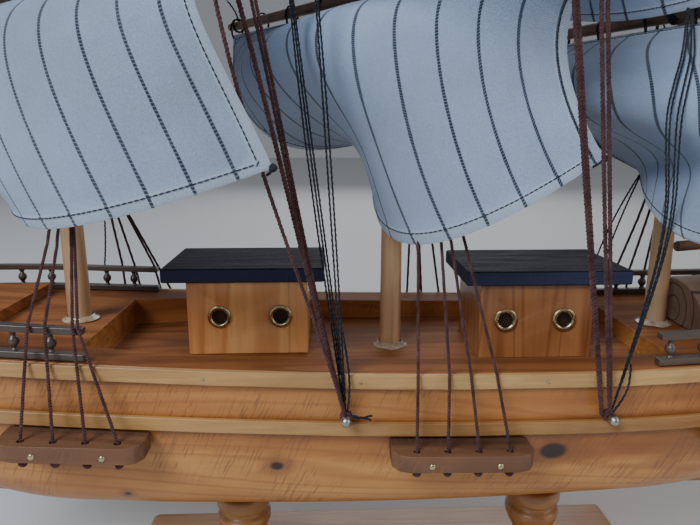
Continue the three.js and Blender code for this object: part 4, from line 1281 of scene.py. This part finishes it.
spanker = [off(GAFF["from"], SPAR_EDGE, -SPAR_EDGE), off(GAFF["to"], -SPAR_EDGE, -2 * SPAR_EDGE),
           off(BOOM["to"], -2 * SPAR_EDGE, SPAR_EDGE), off(BOOM["from"], SPAR_EDGE, SPAR_EDGE)]
flat_cut("spanker", spanker, 0, SPANKER_BELLY, 24, 30)
for name, jib in JIBS.items():
    low, high = STAYS[f"{name}_jib"]
    clew = jib["clew"]
    tack, peak = ((low[0] + (high[0] - low[0]) * t + STAY_OFF,
                   low[1] + (high[1] - low[1]) * t - STAY_OFF) for t in jib["luff"])
    leech = (peak[0] * 0.85 + clew[0] * 0.15 + 2.5, peak[1] * 0.85 + clew[1] * 0.15)
    flat_cut(f"jib_{name}", [tack, peak, leech, clew], jib["lee"], JIB_BELLY, 26, 20)

# %% [markdown]
# Gaff and boom are the two sticks that hold the spanker. They are thinner at their after ends, so
# they do not look like pieces cut off a rod.

# %% Gaff and boom
for name, spar in (("gaff", GAFF), ("boom", BOOM)):
    ends = [(x, 0, RIM_Z + z) for x, z in (spar["from"], spar["to"])]
    mesh = mesh_of(f"{name}_turned", *bar(ends, (spar["r"], spar["r"] * 0.75)))
    add_piece(f"{name}_turned", mesh, YARD, "spar_wood", (name,))
print("gaff and boom turned")

# %% [markdown]
# Cord is laid from three strands, and at this distance they show. A texture on a smooth tube would
# stay round at its edge, so the lay is real: the path is resampled finely, a round profile gets
# three lobes, and the tilt along the path winds them round, once for each length of lay.

# %% Cord group
CORD_SIDES, CORD_STRANDS = 9, 3


def cord_group():
    grown = Growth("laid_cord", Radius=0.0007, Lay=0.006, Step=0.0008, Lobes=0.20)
    turns = grown.math("DIVIDE", grown.add("SplineParameter").outputs["Length"], grown.source["Lay"])
    wound = grown.add("SetCurveTilt", {"Curve": grown.even_path("Step"),
                                       "Tilt": grown.math("MULTIPLY", turns, 2 * math.pi)})
    index = grown.add("InputIndex").outputs[0]
    angle = grown.math("MULTIPLY", index, CORD_STRANDS * 2 * math.pi / CORD_SIDES)
    lobe = grown.math("COSINE", angle)
    swell = grown.math("ADD", 1.0, grown.math("MULTIPLY", lobe, grown.source["Lobes"]))
    size = grown.math("MULTIPLY", swell, grown.source["Radius"])
    there = grown.scaled(grown.add("InputPosition").outputs[0], size)
    profile = grown.add("SetPosition", {"Geometry": grown.circle(CORD_SIDES), "Position": there})
    skin = grown.add("CurveToMesh", {"Curve": wound.outputs[0], "Profile Curve": profile.outputs[0],
                                     "Fill Caps": True})
    return grown.end(skin.outputs["Mesh"])


CORD = cord_group()
print("group made:", CORD.name)

# %% [markdown]
# Two cords rig the ship: a mauve-brown one for shrouds, braces and stays, and a thin black thread
# for everything small. Both are dull and fuzzy. Real hairs would cost thousands of faces, so noise
# makes worn spots lighter, and a little sheen stands for the fibres that stick out. The four stays
# of masts and jibs are laid first.

# %% Cord finishes and stays


def cord_paint(name, dark, light):
    """Spun fibre: fine fuzz and worn lighter spots."""
    paint = Paint(name)
    fuzz = paint.noise(paint.place, 1800, 3.0, 0.6)
    colour = paint.ramp(paint.noise(paint.place, 160, 3.0, 0.6), [(0.35, dark), (0.75, light)])
    colour = paint.mix(0.6, colour, paint.grey(fuzz, 0.3, 0.7, 0.6, 1.25), "MULTIPLY")
    return paint.finish(colour, 0.88, paint.bump(fuzz, 0.00008, 0.8), Sheen_Weight=0.1,
                        Specular_IOR_Level=0.25)


MAUVE = cord_paint("mauve_cord", (0.062, 0.020, 0.023), (0.140, 0.058, 0.056))
BLACK = cord_paint("black_thread", (0.008, 0.009, 0.014), (0.030, 0.034, 0.048))
STAY_R = 0.65
for name, (low, high) in STAYS.items():
    grow(f"stay_{name}_cord", CORD, [[(low[0], 0, low[1]), (high[0], 0, high[1])]],
         {"Radius": STAY_R * MM}, MAUVE, "cord", (f"stay_{name}",))
    print("stay", name, round(math.dist(low, high)), "mm")

# %% [markdown]
# Four shrouds a side hold each mast. They come down from the mast and bend over the first wood
# they meet: the rail's top bar at the fore and mizzen masts, the edge of the upper strip at the
# main mast. Then they go through the holes of the channel, a drilled block on the hull's side. Such
# a bend is what makes cord look pulled tight over something, so each path has a point for it.

# %% Shrouds
CHANNEL_AFT = {"fore": 15, "main": 17, "mizzen": 17}         # middle of a channel, aft of its mast
CHANNEL_REACH, CHANNEL_HOLE, CHANNEL_PITCH, CHANNEL_UNDER, CHANNEL_TALL = 12, 8.6, 9.5, 21.8, 5.4
STRIP_OUT = 2.9
SHROUDS_A_SIDE, SHROUD_R, SHROUD_LAY, SHROUD_DROP = 4, 0.53, 2.8, 1.5
SHROUD_TOP = {"fore": 80, "main": 128, "mizzen": 84}
SHROUD_BEND = {"fore": (-114.4, -109.2, -100.8, -99.2), "main": (3.4, 13, 19.6, 27.6),
               "mizzen": (107.5, 113.5, 120, 127)}
SHROUD_SLACK = {"fore": (1.6, 1.2, 0.3, 0.3), "main": (1.5, 2.2, 0.6, -0.6),
                "mizzen": (0.8, 0.5, 0, -0.5)}


def channel_middle(mast):
    return MASTS[mast]["x"] + CHANNEL_AFT[mast]


def channel_hole(mast, sign, k):
    """Middle of a channel's hole, k from 0 forward to 3 aft."""
    x = channel_middle(mast) + (k - (SHROUDS_A_SIDE - 1) / 2) * CHANNEL_PITCH
    y = sign * (side_y(channel_middle(mast)) + CHANNEL_HOLE)
    return np.array([x, y, float(rim_z(x)) - CHANNEL_UNDER])


def shroud(mast, sign, k):
    """Path of one shroud, from the mast to under the channel."""
    hole, height = channel_hole(mast, sign, k), SHROUD_TOP[mast] - SHROUD_DROP * k
    r = mast_radius(MASTS[mast], height) + SHROUD_R
    top = np.array([MASTS[mast]["x"] + r * 0.8, sign * r * 0.6, RIM_Z + height])
    x = SHROUD_BEND[mast][k]
    if mast == "main":
        bend = np.array([x, sign * (side_y(x) + STRIP_OUT), float(rim_z(x)) + 0.4])
    else:
        bend = np.array([x, sign * (side_y(x) - RAIL_INSET + RAIL_WIDTH / 2 + SHROUD_R + 0.2),
                         float(rim_z(x)) + RAIL_TALL + 0.2])
    middle = top * 0.35 + bend * 0.65 + [SHROUD_SLACK[mast][k], 0, 0]
    return [top, middle, bend, hole + [0, 0, 0.5], hole - [0, 0, CHANNEL_TALL + 1.6]]


for mast in MASTS:
    for side, sign in SIDES.items():
        grow(f"shrouds_{mast}_{side}", CORD, [shroud(mast, sign, k) for k in range(SHROUDS_A_SIDE)],
             {"Radius": SHROUD_R * MM, "Lay": SHROUD_LAY * MM}, MAUVE, "cord")
print("shrouds led through", 2 * len(MASTS), "channels")

# %% [markdown]
# A knot under the channel keeps each shroud from slipping out. A tied knot is a little lump of
# wound turns, too small to model turn by turn. In the node group a small sphere is set on every
# point and pushed about by a seeded noise, so no two knots look the same.

# %% Knots under the channels
SMOOTH_KNOT = math.radians(60)


def knot_group():
    grown = Growth("knots", Size=0.0014, Rough=0.0006, Seed=4)
    ball = grown.add("MeshIcoSphere", {"Radius": grown.source["Size"], "Subdivisions": 3})
    spots = grown.add("InstanceOnPoints", {"Points": grown.source["Paths"],
                                           "Instance": ball.outputs["Mesh"]})
    real = grown.add("RealizeInstances", {0: spots.outputs["Instances"]}).outputs[0]
    lumps = grown.add("ShaderNodeTexNoise", {
        "Vector": grown.add("InputPosition").outputs[0], "Scale": 900.0, "W": grown.source["Seed"]},
        noise_dimensions="4D").outputs["Fac"]
    push = grown.math("MULTIPLY", grown.math("SUBTRACT", lumps, 0.5), grown.source["Rough"])
    way = grown.scaled(grown.add("InputNormal").outputs[0], push)
    return grown.end(grown.add("SetPosition", {"Geometry": real, "Offset": way}).outputs[0])


KNOTS = knot_group()
under = [[channel_hole(mast, sign, k) - [0, 0, CHANNEL_TALL + 1.4]]
         for mast in MASTS for sign in SIDES.values() for k in range(SHROUDS_A_SIDE)]
grow("shroud_knots", KNOTS, under, {}, MAUVE, "cord", smooth=SMOOTH_KNOT)
print("knots:", len(under))

# %% [markdown]
# Two round-headed nails in the port side hold the ends of many cords. A nail is one profile on the
# lathe, with a shank and a domed head. It is turned upright and then laid over, to stand out from
# the hull's side, because a lathe only knows the upright axis.

# %% Nails for the cords
PINS = {"fore": (-18.6, -13.1), "main": (63.9, -13.7)}       # along the hull, and under the rim
NAIL = [(0, -0.6), (0.6, -0.6), (0.6, 4.4), (1.0, 4.7), (1.5, 5.3), (1.75, 6.2), (1.6, 7.1),
        (1.0, 7.9), (0.4, 8.15), (0, 8.2)]
TURN_OUT = Matrix.Rotation(math.radians(90), 4, "X")


def pin_place(pin, out=4.0):
    """A point on a nail's shank, at a distance out from the hull's side."""
    x, depth = PINS[pin]
    return np.array([x, -(side_y(x, depth) + out), float(rim_z(x)) + depth])


for pin in PINS:
    mesh = mesh_of(f"pin_{pin}", *lathe(NAIL, 28))
    mesh.transform(Matrix.Translation(Vector(pin_place(pin, 0)) * MM) @ TURN_OUT)
    add_piece(f"pin_{pin}", mesh, STEEL, "brass", smooth=math.radians(50))
print("nails at", [pin_place(pin).round(1).tolist() for pin in PINS])

# %% [markdown]
# The running cords need two kinds of path. `line` bows slightly between two points, because a real
# cord always has some slack, and `turns` winds round a centre. `arm` and `hem_point` find where a
# cord is made fast, on a yard's end or in a sail's hem, so it stays there when the sail is changed.

# %% Paths for running cords


def line(start, end, slack=0.0, power=2, aside=(0, 0), count=16):
    """A path that bows by slack along the ship, and runs aside in x and y, in millimetres."""
    t = np.linspace(0, 1, count)[:, None]
    peak = (power / (power + 1)) ** power / (power + 1)
    bow = np.array([slack, 0, 0]) * t ** power * (1 - t) / peak
    spread = np.array([*aside, 0]) * np.sin(np.pi * t) ** 0.6
    return start + (end - start) * t + bow + spread


def turns(centre, wide, high, count=3, drift=(0, 0, 0)):
    """Turns of cord round a centre, given the half sizes of a turn as two vectors."""
    angle = np.linspace(0, 2 * math.pi * count, 22 * count + 1)[:, None]
    way = np.asarray(drift, float) * (angle / (2 * math.pi) - count / 2)
    return centre + np.asarray(wide) * np.cos(angle) + np.asarray(high) * np.sin(angle) + way


def arm(yard, side, inset=1.5):
    """A point near the end of a yard, on its port (-1) or starboard (1) side."""
    middle, along, _ = yard_frame(YARDS[yard])
    return middle - along * side * (YARDS[yard]["arms"][0 if side > 0 else 1] - inset)


def hem_point(name, share):
    """A point in the foot's hem of a sail, at a share of its width from starboard."""
    return sail_points(sail_shape(YARDS[name]), share, 0.985)


print("port end of the main yard:", arm("main_course", -1).round(1))

# %% [markdown]
# A brace runs from the port end of a yard to a nail and turns the yard. Most braces are double, so
# one path is laid two or three times, side by side. Two bundles of black thread come down to the
# fore nail from the main topsail's hem.

# %% Braces
STRANDS = {1: ((0, 0),), 2: ((-0.5, 0), (0.6, 0.2)), 3: ((-0.9, 0), (0.1, 0.7), (1.0, -0.2)),
           "apart": ((-0.9, 0), (0.9, 0.2))}
CORD_LAID = {"Lay": 3.4 * MM, "Step": 0.8 * MM}
THREAD_LAID = {"Lay": 6.5 * MM, "Step": 1.5 * MM}
THREAD_SHARES = {"thread_main_topsail": 0.545, "thread_main_foot": 0.605}
BRACES = {       # nail, far end, slack, power of the bow, strands, radius, finish
    "brace_fore_course": ("fore", arm("fore_course", -1), -2.9, 2, 1, 0.52, MAUVE),
    "brace_fore_topsail": ("fore", arm("fore_topsail", -1), 4, 2, 1, 0.68, MAUVE),
    "brace_fore_topgallant": ("fore", arm("fore_topgallant", -1), 9, 2, 2, 0.5, MAUVE),
    "brace_main_topsail": ("main", arm("main_topsail", -1), -0.8, 2, "apart", 0.6, MAUVE),
    "brace_main_topgallant": ("main", arm("main_topgallant", -1), -1.6, 1.2, 2, 0.66, MAUVE),
}
for (name, share), slack, strands in zip(THREAD_SHARES.items(), (-0.8, 0.4), (3, 2)):
    BRACES[name] = ("fore", hem_point("main_topsail", share), slack, 2, strands, 0.32, BLACK)
BESIDE = {"brace_main_topgallant": (-2.6, 0, 0.6)}      # wound on beside the nail's other cords
for name, (pin, end, slack, power, strands, radius, finish) in BRACES.items():
    start = pin_place(pin, 3.6) + BESIDE.get(name, (0, 0, 0))
    paths = [line(start, end, slack, power, aside) for aside in STRANDS[strands]]
    laid = CORD_LAID if finish is MAUVE else THREAD_LAID
    grow(name, CORD, paths, {"Radius": radius * MM, **laid}, finish, "cord")
print("braces and threads led to", len(PINS), "nails")

# %% [markdown]
# Four threads hang loose by the mizzen sails, and the nails carry wound turns and cut ends. Loose
# cord never runs straight, so these paths are given point by point and rounded. They are what makes
# the rigging look tied by hand.

# %% Loose threads and tails
LOOSE_WAY = [((77, -49.5, 157), 0.5, 0.3), ((78, -42.5, 190), 1, 1), ((80, -41, 199.5), 1, 1),
             ((85, -34.5, 209.5), 0.8, 1), ((95.5, -14, 226.5), 0.4, 0.2)]   # point, how far apart
LOOSE_APART = ((-2.9, 0), (-2.0, -0.3), (-0.3, -1.0), (0.6, -1.9))
TAILS = [("fore", ((1.2, 0, 0.8), (4, -1.5, 0.6), (6.5, -1.7, 0.2), (7.6, -1.3, -0.4))),
         ("fore", ((1.2, 0, 0.5), (3.5, -1.2, -0.1), (5.6, -1.9, 0.7), (8.0, -1.2, 1.0))),
         ("main", ((0.8, 0, 1.0), (2.6, -1.0, 5), (4.6, -1.2, 10), (5.4, 0.4, 17))),
         ("fore", ((0.3, 0, 1.2), (1.3, -0.4, 8), (0.9, 0.5, 16), (-0.8, 2, 27)))]
WRAP_R = 1.35
loose = []
for aft, out in LOOSE_APART:
    way = [np.array(p) + [aft * a, out * b, 0] for p, a, b in LOOSE_WAY]
    loose.append(rounded([pin_place("main", 3.6)] + way))
grow("threads_mizzen", CORD, loose, {"Radius": 0.3 * MM, **THREAD_LAID}, BLACK, "cord")
wraps = [turns(pin_place(pin, 3.0), (WRAP_R, 0, 0), (0, 0, WRAP_R), 4, (0, -0.62, 0)) for pin in PINS]
grow("pin_wraps", CORD, wraps, {"Radius": 0.55 * MM}, MAUVE, "cord")
tails = [rounded([pin_place(pin, 3.4) + p for p in way], 2) for pin, way in TAILS]
grow("thread_tails", CORD, tails, {"Radius": 0.34 * MM, "Step": 1.0 * MM}, BLACK, "cord")
print(len(loose), "loose threads,", len(wraps), "wound nails,", len(tails), "tails")

# %% [markdown]
# Thread lashes every yard to its mast and laces every sail to its yard, and short ties hold the
# clews of an upper sail to the yard below. All of them are turns round a stick, so one function
# makes their paths, and two pieces hold the lot.

# %% Lashings and lacings
LACING_STEP = 21
HUG = 0.4                 # from a stick's surface to the middle of the thread
LASH_R, LACE_R, TIE_R = 0.42, 0.28, 0.38
lashed, laced, ties = [], [], []
for yard in YARDS.values():
    mast = MASTS[yard["mast"]]
    middle, along, ahead = yard_frame(yard)
    r, hug = mast_radius(mast, yard["z"]), yard["r"] + HUG
    axis = np.array([mast["x"], 0, middle[2]])
    reach = (np.linalg.norm(middle - axis) + r + yard["r"]) / 2 + 0.45
    centre = axis + ahead * (reach - r - 0.45)
    for tilt in (-1.2, 1.2):
        lashed.append(turns(centre, ahead * reach + UP * tilt, along * (r + 0.6) + UP * tilt * 0.5, 2,
                            (0, 0, 0.9)))
    lashed.append(turns(middle, ahead * hug, UP * hug, 3, along * 0.9))
    drop = yard["r"] + 4.2
    for side, length in zip((-1, 1), yard["arms"]):
        for way in np.arange(LACING_STEP * 0.45, length - 4, LACING_STEP):
            centre = middle + along * side * way + UP * (hug - drop) / 2
            laced.append(turns(centre, ahead * (yard["r"] + 0.5), UP * (hug + drop) / 2, 2,
                               along * 0.6))
    if "below" in yard:
        low = YARDS[yard["below"]]
        low_hug = low["r"] + HUG
        _, low_along, low_ahead = yard_frame(low)
        for side, clew in zip((1, -1), sail_shape(yard)["clews"]):
            foot = arm(yard["below"], side, CLEW_INSET - 2)
            ties.append(line(clew, foot + UP * low["r"], 0.6, 1, count=6))
            ties.append(turns(foot, low_ahead * low_hug, UP * low_hug, 2, low_along * 0.8))
grow("mast_lashings", CORD, lashed, {"Radius": LASH_R * MM, "Step": 0.9 * MM}, BLACK, "cord")
grow("sail_lacings", CORD, laced, {"Radius": LACE_R * MM, "Step": 1.1 * MM}, BLACK, "cord")
print(len(lashed), "lashings,", len(laced), "lacings and", len(ties), "ties")

# %% [markdown]
# Sheets pull the clews of the courses aft and down, lifts carry the gaff and the boom, and spare
# lines go from yard ends to the rails. Each is one bowed line, with a knot where it leaves a sail.

# %% Sheets and lifts
COURSES = ("fore_course", "main_course", "mizzen_course")
LIFT_X = 105.5            # abaft the mizzen mast
CLEWS = {name: sail_shape(YARDS[name])["clews"] for name in COURSES}
STRIP_TOP = np.array([19, side_y(19) + STRIP_OUT, float(rim_z(19)) + 0.6])


def rail_top(x, sign):
    return np.array(rail_line(x, sign, RAIL_TALL + 0.4))


def spar_point(spar, forward, above):
    """A point near a spar's after end."""
    return np.array([spar["to"][0] - forward, 0, RIM_Z + spar["to"][1] + above])


sheets = [
    line(CLEWS["fore_course"][1], np.array([-38.8, -66.0, 176]), 0.3, 1, count=5),
    line(CLEWS["main_course"][1], np.array([51, -51.5, 177]), 0.4, 1, count=5),
    line(CLEWS["fore_course"][0], rail_top(-121, 1), 2, 1),
    line(CLEWS["main_course"][0], STRIP_TOP, 2, 1),
    line(CLEWS["mizzen_course"][0], rail_top(96, 1), -2, 1),
    line(CLEWS["mizzen_course"][0], rail_top(100, 1), -1, 1),
    line(CLEWS["mizzen_course"][1], rail_top(133, -1), 1, 1),
]
for yard, x, slack, sides in (("mizzen_course", 166, 2, (-1, 1)), ("mizzen_topsail", 169, 3, (-1, 1)),
                              ("fore_course", -176, 3, (1,)), ("fore_topsail", -173, 3, (1,))):
    sheets += [line(arm(yard, side), rail_top(x, side), slack, 1) for side in sides]
sheets += [line(spar_point(GAFF, 3, -1), np.array([LIFT_X, 0, RIM_Z + 228]), 0, 1),
           line(spar_point(BOOM, 4, 1.5), np.array([LIFT_X, 0, RIM_Z + 216]), 1, 1)]
sheets += [line(np.array([168, 0, RIM_Z + 32]), rail_top(160, sign), 0, 1) for sign in SIDES.values()]
knots = [[clew] for pair in CLEWS.values() for clew in pair]
knots += [[hem_point("main_topsail", share)] for share in THREAD_SHARES.values()]
knots.append([LOOSE_WAY[-1][0]])
grow("line_knots", KNOTS, knots, {"Size": 1.15 * MM}, BLACK, "cord", smooth=SMOOTH_KNOT)
grow("sheets_and_ties", CORD, ties + sheets, {"Radius": TIE_R * MM, "Step": 1.3 * MM}, BLACK, "cord")
print(len(knots), "knots and", len(sheets), "sheets, lifts and spare lines")

# %% [markdown]
# The hem of each sail is sewn down with dark thread, just inside its inner edge. A drawn seam
# would be flat, and stitches are what one sees first on cloth. The node group sets small spindles
# along the seam, each turned along the path.

# %% Stitch group


def stitch_group():
    grown = Growth("stitches", Step=0.0021, Long=0.0009, Half=0.0002)
    size = grown.add("ShaderNodeCombineXYZ", {
        "X": grown.source["Long"], "Y": grown.source["Half"], "Z": grown.source["Half"]}).outputs[0]
    grain = grown.add("MeshIcoSphere", {"Radius": 1.0, "Subdivisions": 1}).outputs["Mesh"]
    way = grown.add("FunctionNodeAlignRotationToVector", {
        "Vector": grown.add("InputTangent").outputs[0]}, axis="X").outputs[0]
    sewn = grown.add("InstanceOnPoints", {"Points": grown.even_path("Step"), "Instance": grain,
                                          "Rotation": way, "Scale": size})
    return grown.end(sewn.outputs["Instances"])


STITCHES = stitch_group()
print("group made:", STITCHES.name)

# %% [markdown]
# The seam's path lies on the sail's own surface, at an even distance from its edges and a hair off
# the cloth, on both faces. So the stitches follow every swell without any fitting.

# %% Seams
STITCH_STEP, STITCH_LONG, STITCH_HALF = 1.6, 1.75, 0.21
SEAM_INSET, SEAM_OFF = 2.8, 0.08
THREAD = cord_paint("seam_thread", (0.012, 0.018, 0.040), (0.040, 0.055, 0.095))


def seam_paths(points, flat):
    """The seam on both faces of a sail, as closed paths."""
    a, b = SEAM_INSET / flat[0], SEAM_INSET / flat[1]
    corners = [(a, b), (1 - a, b), (1 - a, 1 - b), (a, 1 - b), (a, b)]
    t = np.linspace(0, 1, 60)
    u, v = (np.concatenate([p[i] + (q[i] - p[i]) * t for p, q in zip(corners, corners[1:])])
            for i in (0, 1))
    keep = np.append(True, (np.abs(np.diff(u)) + np.abs(np.diff(v))) > 1e-9)
    u, v = u[keep], v[keep]
    middle, out = points(u, v), normals(points, u, v)
    return [middle + out * side * (HEM_HALF + SEAM_OFF) for side in (-1, 1)]


STITCH = {"Step": STITCH_STEP * MM, "Long": STITCH_LONG / 2 * MM, "Half": STITCH_HALF * MM}
for name, (_, flat, _, points) in SHEETS.items():
    grow(f"seam_{name}", STITCHES, seam_paths(points, flat), STITCH, THREAD, "sailcloth",
                      smooth=math.radians(70))

# %% [markdown]
# Small nails hold the channels and the pale strips. Only their heads show, so each is a low dome
# from the lathe, turned to face out from its side. All heads of a kind are one mesh, because they
# share a finish and never move apart.

# %% Nail heads
DOME = [(0, -0.4), (1.0, -0.4), (1.0, 0.02), (0.93, 0.22), (0.66, 0.40), (0.3, 0.48), (0, 0.5)]
CHANNEL_NAIL_DX, STRIP_NAIL_X = (-10, 10.5), (-150, -62, -14, 44, 101, 150)


def domes(name, places, radius, material, slot):
    """Flat nail heads at (x, y, z) in millimetres, facing out from the middle."""
    heads = []
    for place in places:
        points, faces = lathe([(r * radius, h) for r, h in DOME], 18)
        turned = Matrix.Rotation(math.radians(90 if place[1] < 0 else -90), 4, "X")
        heads.append(([tuple(turned @ Vector(p) + Vector(place) * MM) for p in points], faces))
    add_piece(name, mesh_of(name, *joined(*heads)), material, slot, smooth=math.radians(60))
    print(name, len(heads))


channel_nails = []
for mast in MASTS:
    centre = channel_middle(mast)
    for sign in SIDES.values():
        for x in (centre + dx for dx in CHANNEL_NAIL_DX):
            z = float(rim_z(x)) - CHANNEL_UNDER - CHANNEL_TALL * 0.55
            channel_nails.append((x, sign * (side_y(centre) + CHANNEL_REACH), z))
domes("channel_nails", channel_nails, 1.0, BRASS, "brass")
strip_nails = [(x, sign * (side_y(x) + 2.0), float(rim_z(x)) - 2.4)
               for x in STRIP_NAIL_X for sign in SIDES.values()]
domes("strip_nails", strip_nails, 0.42, STEEL, "brass")

# %% [markdown]
# The masts are glued in, and a ring of dried glue is left round each foot. It is a low band with a
# slightly wavy outline and a strong gloss, because glue dries clear and shiny.

# %% Glue rings
GLUE_PROFILE = [(4.5, 0.05), (6.6, 0.05), (6.5, 0.22), (5.9, 0.42), (5.2, 0.8), (4.75, 1.5),
                (4.5, 1.6)]
GLUE_FOOT, GLUE_WAVE = 4.0, 0.06         # the mast's radius that the profile is for


def glue_paint():
    paint = Paint("dried_glue")
    colour = paint.ramp(paint.noise(paint.place, 300, 3.0, 0.6),
                        [(0.3, (0.30, 0.19, 0.10)), (0.7, (0.62, 0.50, 0.36))])
    relief = paint.bump(paint.noise(paint.place, 500, 2.0, 0.5), 0.0003, 0.6)
    return paint.finish(colour, 0.18, relief, Coat_Weight=0.7)


GLUE = glue_paint()
for name, mast in MASTS.items():
    foot = deck_z(mast["x"])
    points, faces = ring([(r + (mast["foot"] - GLUE_FOOT), -(foot + h)) for r, h in GLUE_PROFILE])
    upright = [(x + mast["x"] * MM, y * (1 + GLUE_WAVE * math.sin(i)), z)
               for i, (x, z, y) in enumerate(points)]
    add_piece(f"glue_{name}", mesh_of(f"glue_{name}", upright, faces), GLUE, "hull_wood",
              smooth=math.radians(60))
print("glue rings round", len(MASTS), "masts")

# %% [markdown]
# Through an eyelet one looks into a drilled hole, not through the wall. A hole could be cut with a
# boolean, but a small cup behind each ring, near-black as painted shade, gives the same depth
# without cutting the house.

# %% Porthole cups
CUP = [(0, -2.0), (2.5, -2.0), (2.52, -0.1), (2.3, -0.1), (2.25, -1.7), (0, -1.75)]
# Near-black wood for the cups: painted shade deep in each hole.
SHADE = wood("porthole_painted_shade", (0.075, 0.035, 0.020), (0.045, 0.020, 0.012), (0.018, 0.009, 0.006),
             coat=0.0)
for house, places in EYELET_X.items():
    for i, x in enumerate(places, 1):
        mesh = mesh_of(f"porthole_{house}_{i}", *lathe(CUP, 32))
        mesh.transform(porthole_place(house, x) @ TURN_OUT)
        add_piece(f"porthole_{house}_{i}", mesh, SHADE, "house_wood", smooth=math.radians(40))
print("porthole cups", -CUP[0][1], "mm deep")

# %% [markdown]
# At the end the box round all shown pieces is measured and given beside the frame's box.

# %% Close
low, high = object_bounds()
print("the ship's box, in millimetres:", [round(v / MM) for v in (*low, *high)])
{"cad": [list(CAD_LOW), list(CAD_HIGH)], "visual": [list(low), list(high)]}
